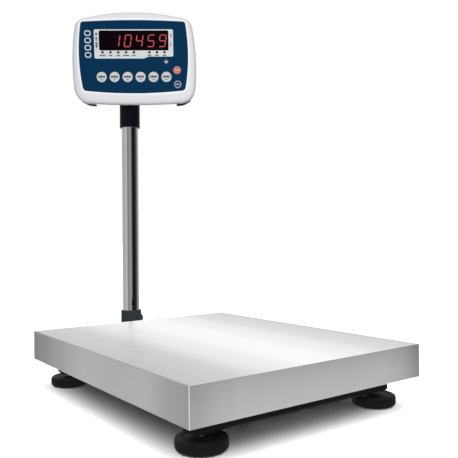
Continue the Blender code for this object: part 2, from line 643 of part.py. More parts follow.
# --- Swivel head ----------------------------------------------------------------------------------------
def swivel_head(swivel):
    """The collar that turns on the column, with the knuckle that carries the tilt pivot. Heights are above
    the collar's lower rim, where the swivel's empty sits."""
    top = COLLAR_TOP_Z - COLLAR_BOTTOM_Z
    pivot = PIVOT_Z - COLLAR_BOTTOM_Z
    bore = TUBE_RADIUS + GAP
    ceiling = TUBE_TOP_Z - COLLAR_BOTTOM_Z + GAP
    profile = [(0, ceiling), (bore, ceiling), (bore, 0), (SOCKET_RADIUS - 0.001, 0), (SOCKET_RADIUS, 0.001),
               (SOCKET_RADIUS, top - 0.002), (SOCKET_RADIUS - 0.002, top), (0, top)]
    collar = piece("swivel_collar", turned(profile, segments=28), "black_plastic", parent=swivel)
    outline = [(-KNUCKLE_RADIUS, top - 0.001), (KNUCKLE_RADIUS, top - 0.001)]
    arc = [math.pi * k / 10 for k in range(11)]
    outline += [(KNUCKLE_RADIUS * math.cos(a), pivot + KNUCKLE_RADIUS * math.sin(a)) for a in arc]
    knuckle = loft([[(x, y, z) for y, z in outline] for x in (-KNUCKLE_HALF_WIDTH, KNUCKLE_HALF_WIDTH)])
    shape_with(collar, tool("knuckle", knuckle, parent=swivel), "UNION")
    openings = bmesh.new()
    add_rod(openings, PIVOT_RADIUS + GAP, -0.03, 0.03, "X", (0, pivot), 20)
    cable_hole = CABLE_RADIUS + CLEARANCE
    add_rod(openings, cable_hole, ceiling - 0.005, top + 0.005, centre=(0, WHIP_Y), segments=14)
    shape_with(collar, tool("collar_openings", openings, parent=swivel))
    pivot_fasteners(swivel, pivot)
    route = [(WHIP_Y, top - 0.010), (WHIP_Y, top + 0.010), (WHIP_Y + 0.0015, pivot - 0.004),
             (0.0120, pivot + 0.012), (0.0040, pivot + 0.0215)]
    cable("cable_whip", [*((0, y, z) for y, z in route), *whip_end(pivot)], swivel)


def pivot_fasteners(swivel, pivot):
    """The bolt through the ears and the knuckle, and its nut."""
    outer_face = KNUCKLE_HALF_WIDTH + CLEARANCE + EAR_THICKNESS + GAP
    bolt = hex_bolt(-outer_face, outer_face + 0.0077, PIVOT_RADIUS)
    piece("pivot_bolt", bolt, "zinc", (0, 0, pivot), (0, math.pi / 2, 0), swivel)
    bore, thickness = PIVOT_RADIUS + GAP, 0.005
    nut = loft([hexagon(HEAD_RADIUS, 0), hexagon(HEAD_RADIUS, thickness), ring_of_points(bore, thickness),
                ring_of_points(bore, 0)], ring=True)
    piece("pivot_nut", nut, "zinc", (outer_face, 0, pivot), (0, math.pi / 2, 0), swivel)


def whip_end(pivot):
    """Points of the cable from just below the gland to inside it, carried from the tilting frame at rest."""
    turn = Matrix.Rotation(TILT, 4, "X")
    points = []
    for rise in (-0.001, 0.004):
        x, y, z = GLAND_FROM_PIVOT
        place = (turn @ Matrix.Translation((x, y, z + rise))).translation
        points.append((place.x, place.y, place.z + pivot))
    return points


# --- Indicator ------------------------------------------------------------------------------------------
def housing(inset=0.0, side_steps=5, corner_steps=3):
    """The housing's outline, drawn in towards its middle by an inset that is negative to grow."""
    half_width = HOUSING_SHAPE["half_mid"]
    half_height = (HOUSING_SHAPE["top_mid"] - HOUSING_SHAPE["bottom_mid"]) / 2
    wide, high = 1 - inset / half_width, 1 - inset / half_height
    return [(x * wide, z * high) for x, z in barrel(HOUSING_SHAPE, side_steps, corner_steps)]


def panel(grow=0.0):
    return offset_outline(barrel(PANEL_SHAPE), grow)


def front_cover(face):
    """Bezel shell: recessed floor for the keypad, bright lip, bowed rim, and the hollow behind."""
    rim, lip = housing(), panel(0.004)
    outside = [at_depth(panel(GAP), FLOOR_FRONT), at_depth(panel(GAP), 0.0008), at_depth(panel(0.0012), 0.0),
               at_depth(lip, 0.0006), at_depth(mix(lip, rim, 0.45), 0.0026),
               at_depth(mix(lip, rim, 0.80), 0.0054), at_depth(mix(lip, rim, 0.96), 0.0090),
               at_depth(rim, 0.0140), at_depth(rim, PARTING)]
    inside = [at_depth(housing(SHELL), PARTING), at_depth(housing(SHELL), 0.0130),
              at_depth(mix(panel(0.002), rim, 0.70), 0.0090), at_depth(panel(0.001), FLOOR_BACK)]
    cover = piece("front_cover", loft(outside + inside), "white_plastic", face["at"], parent=face["parent"])
    x, z = WINDOW_CENTRE
    half_w, half_h = WINDOW_SIZE[0] / 2 - 0.004, WINDOW_SIZE[1] / 2 - 0.003
    opening = box((x - half_w, 0, z - half_h), (x + half_w, FLOOR_BACK + 0.005, z + half_h))
    shape_with(cover, tool("cover_opening", opening, face["at"], parent=face["parent"]))


def rear_cover(face):
    """Rear shell with a notch for the column head, screw bosses and the battery opening."""
    at, parent = face["at"], face["parent"]
    outer = loft([at_depth(housing(), REAR_START), at_depth(housing(0.001), BEND),
                  at_depth(housing(0.010), SHOULDER), at_depth(housing(0.021), REAR_END)])
    cover = piece("rear_cover", outer, "white_plastic", at, parent=parent)
    hollow = tool("rear_hollow", loft([
        at_depth(housing(SHELL), REAR_START - 0.002), at_depth(housing(SHELL + 0.001), BEND),
        at_depth(housing(SHELL + 0.010), SHOULDER - 0.002),
        at_depth(housing(SHELL + 0.021), REAR_END - 0.0035)]), at, parent=parent)
    bosses = bmesh.new()
    for x in (-0.080, 0.080):
        for z in (-0.050, 0.048):
            add_rod(bosses, 0.004, 0.010, 0.070, "Y", (x, z), 10)
    shape_with(hollow, tool("rear_bosses", bosses, at, parent=parent))
    pivot_x, pivot_z = -FACE_CENTRE[0], -FACE_CENTRE[2]
    left, right, roof = pivot_x - NOTCH_HALF_WIDTH, pivot_x + NOTCH_HALF_WIDTH, pivot_z + NOTCH_ROOF
    below, behind = -0.12, 0.08
    notch_wall = box((left - SHELL, NOTCH_DEPTH - SHELL, below), (right + SHELL, behind, roof + SHELL))
    shape_with(hollow, tool("notch_wall", notch_wall, at, parent=parent))
    shape_with(cover, hollow)
    notch = box((left, NOTCH_DEPTH, below), (right, behind, roof))
    shape_with(cover, tool("notch", notch, at, parent=parent))
    hatch = upright_box(HATCH_SIZE, BATTERY_Z, DOOR_FRONT - 0.01, behind)
    ledge_size = (DOOR_SIZE[0] + 2 * GAP, DOOR_SIZE[1] + 2 * GAP)
    ledge = upright_box(ledge_size, BATTERY_Z, DOOR_FRONT - GAP, behind)
    shape_with(cover, tool("battery_hatch", hatch, at, parent=parent))
    shape_with(cover, tool("battery_ledge", ledge, at, parent=parent))


def upright_box(size, z, front, back, bevel=0.0, segments=1):
    """A box of the face's width and height about x = 0 and a height z, between two depths."""
    width, height = size
    return box((-width / 2, front, z - height / 2), (width / 2, back, z + height / 2), bevel, segments)


def indicator_feet(face):
    """Rubber pads under the housing's lower corners, which taper off towards their outer ends."""
    near, far = PAD_REACH
    for number, side in enumerate((-1, 1), 1):
        upper = [(x, z) for x, z in housing(-2 * GAP, 24, 6) if near < side * x < far and z < 0]
        lower = []
        for x, z in upper:
            taper = min(1.0, (far - side * x) / (far - near) * 2)
            lower.append((x, z - 0.0010 - (PAD_DROP - 0.0010) * taper))
        outline = upper + lower[::-1]
        pad = loft([at_depth(outline, PAD_DEPTH[0]), at_depth(outline, PAD_DEPTH[1])])
        piece(f"indicator_foot_{number}", pad, "rubber", face["at"], parent=face["parent"])


def key_places():
    """Name, centre and radius of each key on the face."""
    row = [(f"key_{k + 1}", ((k - 2.5) * KEY_PITCH, KEY_ROW_Z), KEY_RADIUS) for k in range(6)]
    return row + [("key_clear", CLEAR_KEY, SMALL_KEY_RADIUS), ("key_power", POWER_KEY, SMALL_KEY_RADIUS)]


def keypad(face):
    """The film over the bezel's floor, with openings for the window and the keys."""
    at, parent = face["at"], face["parent"]
    back = FLOOR_FRONT - GAP
    overlay = piece("keypad_overlay", loft([at_depth(panel(), OVERLAY_FRONT), at_depth(panel(), back)]),
                    "blue_panel", at, parent=parent)
    x, z = WINDOW_CENTRE
    lens = [(x + a, z + b) for a, b in rounded_rectangle(WINDOW_SIZE[0], WINDOW_SIZE[1], 0.003)]
    piece("display_window", loft([at_depth(lens, WINDOW_FRONT), at_depth(lens, back)]), "window", at,
          parent=parent)
    around_lens = offset_outline(lens, GAP)
    holes = loft([at_depth(around_lens, -0.005), at_depth(around_lens, 0.005)])
    for _, place, radius in key_places():
        add_rod(holes, radius + 0.0004, -0.005, 0.005, "Y", place, 20)
    shape_with(overlay, tool("overlay_holes", holes, at, parent=parent))
    for name, place, radius in key_places():
        key(name, place, radius, face)


def key(name, place, radius, face):
    """A round key that stands a little proud of the film."""
    slots = {"key_clear": "red_key", "key_power": "dark_key"}
    soft = 0.0005
    profile = [(0, KEY_BACK), (radius, KEY_BACK), (radius, KEY_FRONT + soft), (radius - soft, KEY_FRONT),
               (0, KEY_FRONT)]
    shape = turned(profile, segments=20)
    bmesh.ops.rotate(shape, cent=(0, 0, 0), matrix=Matrix.Rotation(-math.pi / 2, 3, "X"), verts=shape.verts)
    x, y, z = face["at"]
    piece(name, shape, slots.get(name, "white_key"), (x + place[0], y, z + place[1]), parent=face["parent"])


def electronics(face):
    """Display module, main board, battery with its door, and the gasket between the two covers."""
    at, parent = face["at"], face["parent"]
    x, z = WINDOW_CENTRE
    half_w, half_h = WINDOW_SIZE[0] / 2 + 0.001, WINDOW_SIZE[1] / 2 + 0.003
    module = box((x - half_w, FLOOR_BACK + GAP, z - half_h), (x + half_w, MODULE_BACK, z + half_h), 0.0005)
    piece("display_module", module, "window", at, parent=parent)
    board_back = REAR_START - GAP
    board = box((-BOARD_HALF_WIDTH, board_back - BOARD_THICKNESS, BOARD_REACH[0]),
                (BOARD_HALF_WIDTH, board_back, BOARD_REACH[1]))
    piece("main_board", board, "circuit", at, parent=parent)
    width, depth, height = BATTERY_SIZE
    battery = upright_box((width, height), BATTERY_Z, BATTERY_FRONT, BATTERY_FRONT + depth, 0.002, 2)
    piece("battery", battery, "battery_wrap", at, parent=parent)
    door = upright_box(DOOR_SIZE, BATTERY_Z, DOOR_FRONT, DOOR_FRONT + DOOR_THICKNESS, 0.0005)
    piece("battery_door", door, "white_plastic", at, parent=parent)
    outer, inner = housing(0.0008), housing(0.0022)
    low, high = PARTING + GAP, REAR_START - GAP
    ring = [at_depth(outer, low), at_depth(outer, high), at_depth(inner, high), at_depth(inner, low)]
    piece("housing_gasket", loft(ring, ring=True), "rubber", at, parent=parent)


def tilt_bracket(tilt):
    """Plate on the floor of the notch with two ears that reach back to the pivot."""
    plate_front = FACE_CENTRE[1] + NOTCH_DEPTH + GAP
    plate_back = plate_front + EAR_THICKNESS
    half = 0.022
    plate = box((-half, plate_front, -half), (half, plate_back, half))
    bracket = piece("tilt_bracket", plate, "zinc", parent=tilt)
    outline = [(plate_back - 0.001, EAR_RADIUS), (plate_back - 0.001, -EAR_RADIUS)]
    arc = [math.pi * k / 10 for k in range(11)]
    outline += [(EAR_RADIUS * math.sin(a), -EAR_RADIUS * math.cos(a)) for a in arc]
    inside = KNUCKLE_HALF_WIDTH + CLEARANCE
    for side in (-1, 1):
        ear = loft([[(side * x, y, z) for y, z in outline] for x in (inside, inside + EAR_THICKNESS)])
        shape_with(bracket, tool(f"ear_{side}", ear, parent=tilt), "UNION")
    bore = rod(PIVOT_RADIUS + GAP, -0.03, 0.03, "X", (0, 0))
    shape_with(bracket, tool("ear_bore", bore, parent=tilt))
    hole, outer = CABLE_RADIUS + CLEARANCE, 0.0055
    gland = [(hole, 0), (outer - 0.0005, 0), (outer, 0.0005), (outer, GLAND_HEIGHT), (hole, GLAND_HEIGHT)]
    piece("cable_gland", turned(gland, ring=True, segments=20), "black_plastic", GLAND_FROM_PIVOT,
          parent=tilt)


def indicator(swivel):
    tilt = empty("tilt_axis", (0, 0, PIVOT_Z - COLLAR_BOTTOM_Z), (TILT, 0, 0), swivel)
    face = {"at": FACE_CENTRE, "parent": tilt}
    tilt_bracket(tilt)
    front_cover(face)
    rear_cover(face)
    indicator_feet(face)
    keypad(face)
    electronics(face)


def main():
    clear_scene()
    base_frame()
    levelling_feet()
    overload_stops()
    load_cell()
    cell_mounting()
    deck_frame()
    pan_rests()
    pan()
    column_bracket()
    column_socket()
    column_tube()
    cell_cable()
    spirit_level()
    swivel = empty("swivel_axis", (0, COLUMN_Y, COLLAR_BOTTOM_Z), (0, 0, SWIVEL))
    swivel_head(swivel)
    indicator(swivel)


main()
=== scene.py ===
import json
import math

import bmesh
import bpy
import numpy as np
from mathutils import Matrix, Vector

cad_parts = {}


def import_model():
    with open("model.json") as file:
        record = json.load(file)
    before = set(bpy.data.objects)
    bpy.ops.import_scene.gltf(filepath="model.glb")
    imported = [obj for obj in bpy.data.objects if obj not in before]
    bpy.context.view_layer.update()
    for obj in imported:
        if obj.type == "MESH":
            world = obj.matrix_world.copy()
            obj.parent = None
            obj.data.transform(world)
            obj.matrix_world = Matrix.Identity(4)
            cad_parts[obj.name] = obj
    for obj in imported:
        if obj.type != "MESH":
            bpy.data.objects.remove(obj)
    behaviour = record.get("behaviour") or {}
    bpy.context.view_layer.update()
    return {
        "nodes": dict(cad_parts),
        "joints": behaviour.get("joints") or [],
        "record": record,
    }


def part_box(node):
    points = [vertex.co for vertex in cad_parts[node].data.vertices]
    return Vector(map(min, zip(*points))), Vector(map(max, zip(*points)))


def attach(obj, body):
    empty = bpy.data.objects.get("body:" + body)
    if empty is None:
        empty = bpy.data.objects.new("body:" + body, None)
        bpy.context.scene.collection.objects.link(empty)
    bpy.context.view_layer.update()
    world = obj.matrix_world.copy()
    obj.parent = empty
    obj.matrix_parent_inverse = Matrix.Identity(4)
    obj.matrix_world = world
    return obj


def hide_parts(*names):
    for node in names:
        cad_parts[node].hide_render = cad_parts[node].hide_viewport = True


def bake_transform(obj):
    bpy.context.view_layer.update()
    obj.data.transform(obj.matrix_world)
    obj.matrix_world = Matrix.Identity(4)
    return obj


# The looks of the bench scale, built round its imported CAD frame. Metres, +Z up.

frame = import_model()
SLOT_OF = {row["node"]: row["material_slot"] for row in frame["record"]["subparts"]}
BODY_OF = {name: body for body, names in frame["record"]["behaviour"]["bodies"].items() for name in names}
JOINTS = {joint["name"]: joint for joint in frame["joints"]}

# --- Sizes ---
SHEET = 0.0015  # thickness of the pan's steel
FOLD_RADIUS = 0.0016  # of the pan's bent edges
TUBE_WALL = 0.0015  # of the column
SKIN = 0.00012  # thickness of a printed layer
LIFT = 0.00004  # of a printed layer above the surface that carries it
FILM_DEPTH = 0.0012  # of the keypad's film behind the housing's lip

# The housing and the keypad's panel are four-sided shapes with bowed sides, measured from the face's centre.
HOUSING = {
    "half_top": 0.1130, "half_mid": 0.1220, "half_bottom": 0.1170,
    "top_edge": 0.0700, "top_mid": 0.0856, "bottom_edge": -0.0880, "bottom_mid": -0.0926,
    "top_radius": 0.014, "bottom_radius": 0.028,
}
PANEL = {
    "half_top": 0.1011, "half_mid": 0.1065, "half_bottom": 0.1000,
    "top_edge": 0.0654, "top_mid": 0.0683, "bottom_edge": -0.0654, "bottom_mid": -0.0709,
    "top_radius": 0.004, "bottom_radius": 0.006,
}
PANEL_MIDDLE = (PANEL["top_mid"] + PANEL["bottom_mid"]) / 2
FILM_EDGE = 0.00025  # of the film beyond the panel's outline
PANEL_GAP = 0.0003  # of the bezel round the panel's outline
LIP_WIDTH = 0.0040  # from the panel's outline to where the bezel falls away
PARTING = 0.0220  # depth at which the housing's two halves meet
HOUSING_WALL = 0.0025
NECK_X, NECK_Z = -0.0169, -0.0380  # middle of the neck that the housing straddles, across and up the face
THROUGH = 0.08  # a depth well behind the housing, for cuts that pass right through

# --- The face's own axes: x to the reader's right, y into the housing, z up its face ---
INWARD = Vector(JOINTS["key_1_press"]["axis"]).normalized()
RIGHT = -Vector(JOINTS["indicator_tilt"]["axis"]).normalized()
UPWARD = RIGHT.cross(INWARD).normalized()
TURN = Matrix((RIGHT, INWARD, UPWARD)).transposed()


def turned_box(name):
    """Lowest and highest corner of a CAD node along the face's axes, from the world's origin."""
    points = np.array([v.co for v in frame["nodes"][name].data.vertices]) @ np.array(TURN)
    return Vector(points.min(0)), Vector(points.max(0))


def face_origin():
    """Centre of the face on its front plane, from the keypad's panel."""
    low, high = turned_box("keypad_overlay")
    return TURN @ Vector(((low.x + high.x) / 2, low.y - FILM_DEPTH, (low.z + high.z) / 2 - PANEL_MIDDLE))


FACE = Matrix.Translation(face_origin()) @ TURN.to_4x4()


def face_box(name):
    """Lowest and highest corner of a CAD node in the face's own frame."""
    shift = TURN.transposed() @ FACE.translation
    low, high = turned_box(name)
    return low - shift, high - shift


def middle(name, z=None):
    """Middle of a CAD node's box, moved to another height if one is given."""
    low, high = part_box(name)
    centre = (low + high) / 2
    return Vector((centre.x, centre.y, centre.z if z is None else z))


# --- Node materials ---
def feed(tree, socket, value):
    """Give an input a value or another node's output."""
    if isinstance(value, bpy.types.NodeSocket):
        tree.links.new(value, socket)
    else:
        socket.default_value = value


def node(tree, kind, inputs=None, **settings):
    """Add a shader node; an input may be a value or another node's output."""
    made = tree.nodes.new(kind)
    for name, value in settings.items():
        setattr(made, name, value)
    for name, value in (inputs or {}).items():
        feed(tree, made.inputs[name], value)
    return made


def calc(tree, operation, first, second=0.0, third=0.0):
    """A Math node of up to three inputs, each a value or an output."""
    made = node(tree, "ShaderNodeMath", operation=operation)
    for socket, value in zip(made.inputs, (first, second, third)):
        feed(tree, socket, value)
    return made.outputs[0]


def remap(tree, value, start, end, low=0.0, high=1.0):
    """Turn the stretch from start to end into one from low to high, and hold it at both ends."""
    return node(tree, "ShaderNodeMapRange", {"Value": value, "From Min": start, "From Max": end,
                                             "To Min": low, "To Max": high}).outputs["Result"]


def parts(tree, vector):
    """The X, Y and Z outputs of a vector."""
    return node(tree, "ShaderNodeSeparateXYZ", {"Vector": vector}).outputs


def ramp(tree, factor, stops, interpolation="EASE"):
    """A grey ColorRamp through (position, value) stops."""
    made = node(tree, "ShaderNodeValToRGB", {"Fac": factor})
    made.color_ramp.interpolation = interpolation
    elements = made.color_ramp.elements
    while len(elements) < len(stops):
        elements.new(0.5)
    for element, (position, value) in zip(elements, stops):
        element.position = position
        element.color = (value, value, value, 1)
    return made.outputs["Color"]


def place_on_object(tree):
    return node(tree, "ShaderNodeTexCoord").outputs["Object"]


def noise(tree, scale, stretch=(1, 1, 1), detail=4.0):
    """Noise whose waves are shorter along the axes with a larger stretch."""
    place = node(tree, "ShaderNodeMapping", {"Vector": place_on_object(tree), "Scale": stretch})
    return node(tree, "ShaderNodeTexNoise", {"Vector": place.outputs["Vector"], "Scale": scale,
                                             "Detail": detail, "Roughness": 0.6}).outputs["Fac"]


def blend_colors(tree, factor, first, second, blend_type="MIX"):
    made = node(tree, "ShaderNodeMix", data_type="RGBA", blend_type=blend_type)
    for name, value in (("Factor", factor), ("A", first), ("B", second)):
        socket = next(s for s in made.inputs if s.name == name and (s.type == "RGBA" or name == "Factor"))
        feed(tree, socket, value)
    return next(s for s in made.outputs if s.type == "RGBA")


def edge_share(tree):
    """1 on sharp outer edges and 0 on flat faces, from the difference a rounded normal makes."""
    rounded_normal = node(tree, "ShaderNodeBevel", {"Radius": 0.0006}, samples=4).outputs["Normal"]
    flat = node(tree, "ShaderNodeNewGeometry").outputs["Normal"]
    near = node(tree, "ShaderNodeVectorMath", {0: rounded_normal, 1: flat}, operation="DOT_PRODUCT")
    return remap(tree, near.outputs["Value"], 0.98, 0.80)


def new_material(name):
    made = bpy.data.materials.new(name)
    made.use_nodes = True
    tree = made.node_tree
    return made, tree, tree.nodes["Principled BSDF"]


def plug(tree, shader, **values):
    """Set a shader's inputs by their names, with _ for a space."""
    for name, value in values.items():
        feed(tree, shader.inputs[name.replace("_", " ")], value)


def bump(tree, height, strength, distance):
    return node(tree, "ShaderNodeBump", {"Height": height, "Strength": strength, "Distance": distance}
                ).outputs["Normal"]


def spread_of(tree, factor, value, spread):
    """Turn a noise into a value that strays a little from the one given."""
    return remap(tree, factor, 0.3, 0.7, value - spread, value + spread)


def shade(color, share=1.0):
    """A colour for a socket, darkened to a share of itself."""
    return (*[channel * share for channel in color], 1)


def moulded(name, color, roughness, grain, depth, mottle, wear=0.0, shine=0.5):
    """Moulded plastic, rubber, paint or print: a fine grain, faint mottling, and edges rubbed paler."""
    made, tree, shader = new_material(name)
    fine = noise(tree, grain)
    broad = noise(tree, 14.0, detail=3.0)
    tinted = blend_colors(tree, broad, shade(color), shade(color, 1 - mottle))
    if wear:
        paler = (*[min(1.0, channel + wear * (1.0 - channel)) for channel in color], 1)
        patches = calc(tree, "MULTIPLY", edge_share(tree), noise(tree, 120.0))
        tinted = blend_colors(tree, patches, tinted, paler)
    plug(tree, shader, Base_Color=tinted, Roughness=spread_of(tree, broad, roughness, 0.05),
         Specular_IOR_Level=shine, Normal=bump(tree, fine, 0.35, depth))
    return made


def housing_plastic():
    """White plastic whose raised lip round the panel has a painted highlight, drawn brighter than the rest.
    """
    made = moulded("housing_plastic", (0.85, 0.85, 0.885), 0.38, 1500.0, 0.00002, 0.02)
    tree = made.node_tree
    color = tree.nodes["Principled BSDF"].inputs["Base Color"]
    # painted highlight: the lip near the front plane is drawn paler, standing in for the light it catches
    lip = remap(tree, parts(tree, place_on_object(tree))["Y"], 0.0012, 0.0004)
    tree.links.new(blend_colors(tree, lip, color.links[0].from_socket, (0.97, 0.985, 1.0, 1)), color)
    return made


def polished(name, color, roughness):
    """Bright metal with faint scratches along its length."""
    made, tree, shader = new_material(name)
    lines = noise(tree, 90.0, (14, 14, 0.6))
    haze = noise(tree, 9.0, detail=2.0)
    plug(tree, shader, Base_Color=blend_colors(tree, haze, shade(color), shade(color, 0.93)), Metallic=1.0,
         Roughness=spread_of(tree, haze, roughness, roughness * 0.25),
         Normal=bump(tree, lines, 0.10, 0.00005))
    return made


def satin(name, color, roughness=0.35, stretch=(1, 60, 60)):
    """Machined or plated metal with a fine directional grain."""
    made, tree, shader = new_material(name)
    grain = noise(tree, 30.0, stretch)
    cloud = noise(tree, 22.0, detail=3.0)
    worn = blend_colors(tree, edge_share(tree), shade(color, 0.9), shade(color))
    plug(tree, shader, Base_Color=blend_colors(tree, cloud, worn, shade(color, 0.8)), Metallic=1.0,
         Roughness=spread_of(tree, grain, roughness, 0.08), Normal=bump(tree, grain, 0.25, 0.00008))
    return made


# Painted sheen of the brushed steel, standing in for reflected light: share of the way along the side, and
# brightness there
TOP_PAINTED_SHEEN = [(0.0, 0.66), (0.13, 0.71), (0.32, 0.98), (0.50, 1.14), (0.68, 1.00), (0.86, 0.80), (1.0, 0.71)]
FRONT_PAINTED_SHEEN = [(0.0, 0.86), (0.12, 1.04), (0.24, 1.28), (0.40, 1.42), (0.52, 1.36), (0.64, 1.20),
               (0.78, 1.14), (0.88, 1.00), (1.0, 0.66)]
SIDE_PAINTED_SHEEN = [(0.0, 0.64), (0.06, 0.68), (0.20, 0.86), (0.40, 0.84), (0.55, 0.88), (0.66, 0.80), (0.76, 0.68),
              (0.90, 0.52), (1.0, 0.44)]
FACING = 0.7  # least part of a normal along an axis for a face to count as facing that way
EDGE_HIGHLIGHT_SLOPES = (0.2, 0.98)  # part of the normal across the pan on its upright corners, where a highlight is painted


def brushed_steel():
    """Stainless sheet with a fine grain, painted broad soft bands of reflected light, and a painted highlight
    on its bent corners in matt pale grey.
    """
    made, tree, shader = new_material("brushed_steel")
    low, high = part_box("pan")
    place = parts(tree, place_on_object(tree))
    normal = parts(tree, node(tree, "ShaderNodeNewGeometry").outputs["True Normal"])
    across = remap(tree, place["X"], low.x, high.x)
    # painted sheen: brightness ramps along the top, front and side stand in for soft bands of reflected light
    top = ramp(tree, across, TOP_PAINTED_SHEEN)
    front = ramp(tree, across, FRONT_PAINTED_SHEEN)
    side = ramp(tree, remap(tree, place["Y"], low.y, high.y), SIDE_PAINTED_SHEEN)
    slope_x = calc(tree, "ABSOLUTE", normal["X"])
    faces_up = calc(tree, "GREATER_THAN", normal["Z"], FACING)
    faces_side = calc(tree, "GREATER_THAN", slope_x, FACING)
    painted_sheen = blend_colors(tree, faces_up, blend_colors(tree, faces_side, front, side), top)
    grain = noise(tree, 240.0, (0.02, 1, 1))
    cross_grain = noise(tree, 240.0, (1, 0.02, 1))
    lines = blend_colors(tree, faces_side, grain, cross_grain)
    steel = blend_colors(tree, 1.0, painted_sheen, (0.90, 0.905, 0.915, 1), "MULTIPLY")
    # painted highlight: the bent corners get a matt pale grey in place of their bright reflection
    corner = calc(tree, "MULTIPLY", calc(tree, "GREATER_THAN", slope_x, EDGE_HIGHLIGHT_SLOPES[0]),
                  calc(tree, "LESS_THAN", slope_x, EDGE_HIGHLIGHT_SLOPES[1]))
    plug(tree, shader, Base_Color=blend_colors(tree, corner, steel, (0.54, 0.55, 0.56, 1)),
         Metallic=calc(tree, "SUBTRACT", 1.0, corner), Roughness=spread_of(tree, lines, 0.42, 0.06),
         Normal=bump(tree, lines, 0.12, 0.00005))
    return made


def window_acrylic():
    """Almost black acrylic over the display, with a faint red and blue cast."""
    made, tree, shader = new_material("window_acrylic")
    cast = noise(tree, 60.0, (1, 1, 1.6), 2.0)
    tint = blend_colors(tree, cast, (0.0015, 0.0012, 0.0035, 1), (0.0045, 0.0010, 0.0025, 1))
    plug(tree, shader, Base_Color=tint, Roughness=0.16, Specular_IOR_Level=0.05,
         Normal=bump(tree, noise(tree, 35.0), 0.02, 0.0001))
    return made


def lit(name, color):
    """A display segment: light from a diffuse film with a slightly uneven glow."""
    made, tree, shader = new_material(name)
    glow = blend_colors(tree, noise(tree, 500.0, detail=2.0), shade(color), shade(color, 0.75))
    plug(tree, shader, Base_Color=(0.02, 0.004, 0.004, 1), Emission_Color=glow, Emission_Strength=0.9,
         Roughness=0.4)
    return made


def vial_acrylic():
    """The spirit level's clear vial and its yellow-green liquid as one."""
    made, tree, shader = new_material("vial_acrylic")
    liquid = blend_colors(tree, noise(tree, 300.0), (0.55, 0.80, 0.20, 1), (0.65, 0.88, 0.30, 1))
    plug(tree, shader, Base_Color=liquid, Roughness=0.06, Transmission_Weight=0.6, IOR=1.45)
    return made


MATERIALS = {
    "stainless": brushed_steel(),
    "chrome": polished("chrome_plate", (0.80, 0.80, 0.80), 0.07),
    "zinc": satin("zinc_plate", (0.62, 0.63, 0.65)),
    "black_steel": moulded("powder_coat", (0.007, 0.007, 0.008), 0.50, 700.0, 0.0001, 0.15, 0.05, shine=0.05),
    "cell_alloy": satin("machined_alloy", (0.75, 0.76, 0.78), 0.40, (60, 1, 60)),
    "black_plastic": moulded("collar_plastic", (0.0045, 0.005, 0.008), 0.42, 1100.0, 0.00008, 0.15, 0.03,
                             shine=0.09),
    "rubber": moulded("foot_rubber", (0.006, 0.006, 0.0065), 0.62, 1300.0, 0.00012, 0.2, 0.03, shine=0.15),
    "white_plastic": housing_plastic(),
    "blue_panel": moulded("panel_film", (0.0030, 0.0330, 0.0860), 0.42, 2200.0, 0.00003, 0.05, shine=0.06),
    "white_key": moulded("key_film", (0.65, 0.675, 0.67), 0.40, 2200.0, 0.00003, 0.04),
    "red_key": moulded("clear_key_film", (0.76, 0.150, 0.085), 0.40, 2200.0, 0.00003, 0.15),
    "dark_key": moulded("power_key_film", (0.006, 0.012, 0.035), 0.40, 2200.0, 0.00003, 0.1, shine=0.15),
    "window": window_acrylic(),
    "circuit": moulded("solder_mask", (0.02, 0.14, 0.06), 0.35, 400.0, 0.0001, 0.2),
    "level_glass": vial_acrylic(),
    "battery_wrap": moulded("battery_film", (0.05, 0.10, 0.30), 0.30, 900.0, 0.00004, 0.1),
}


def ink(name, color, mottle=0.05):
    """A matt printed colour."""
    return moulded(name, color, 0.5, 2200.0, 0.00002, mottle)


SOCKET = moulded("socket_plastic", (0.030, 0.038, 0.040), 0.5, 900.0, 0.00008, 0.15, 0.02, shine=0.15)
LABEL = moulded("label_print", (0.70, 0.735, 0.75), 0.45, 2200.0, 0.00002, 0.03)
INK = ink("dark_print", (0.030, 0.032, 0.040), 0.1)
PALE = ink("pale_print", (0.55, 0.60, 0.66))
PINK = ink("pale_red_print", (0.52, 0.27, 0.28))
RED_INK = ink("red_print", (0.30, 0.03, 0.04), 0.1)
SEGMENT_EDGE = lit("segment_glow", (0.46, 0.008, 0.012))
SEGMENT_CORE = lit("segment_core", (0.46, 0.16, 0.15))


# --- Mesh helpers ---
def linked(name, data):
    """A new object of the scene."""
    made = bpy.data.objects.new(name, data)
    bpy.context.scene.collection.objects.link(made)
    return made


def new_object(name, shape, material=None, smooth=None):
    """Turn a bmesh into an object; smooth is the least angle, in degrees, that stays a sharp edge."""
    mesh = bpy.data.meshes.new(name)
    shape.to_mesh(mesh)
    shape.free()
    if smooth is not None:
        mesh.shade_smooth()
        mesh.set_sharp_from_angle(angle=math.radians(smooth))
    if material is not None:
        mesh.materials.append(material)
    return linked(name, mesh)


def mesh_piece(name, shape, material, body, matrix=None, smooth=35.0):
    """Turn a bmesh into a piece that rides on a CAD body."""
    bmesh.ops.recalc_face_normals(shape, faces=shape.faces)
    made = new_object(name, shape, material, smooth)
    if matrix is not None:
        made.matrix_world = matrix
    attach(made, body)
    return made


def stand_in(name, shape, source, matrix=None, smooth=35.0):
    """A piece shown in place of a CAD node, on its body and with its finish."""
    made = mesh_piece(name, shape, MATERIALS[SLOT_OF[source]], BODY_OF[source], matrix, smooth)
    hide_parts(source)
    return made


def spun(profile, segments=96, ring=False):
    """Turn (radius, z) points about Z; the profile starts and ends on the axis unless it is a ring."""
    shape = bmesh.new()
    points = [shape.verts.new((radius, 0, z)) for radius, z in profile]
    pairs = list(zip(points, points[1:]))
    if ring:
        pairs.append((points[-1], points[0]))
    edges = [shape.edges.new(pair) for pair in pairs]
    bmesh.ops.spin(shape, geom=points + edges, cent=(0, 0, 0), axis=(0, 0, 1), angle=math.tau, steps=segments)
    bmesh.ops.remove_doubles(shape, verts=shape.verts, dist=0.000001)
    return shape


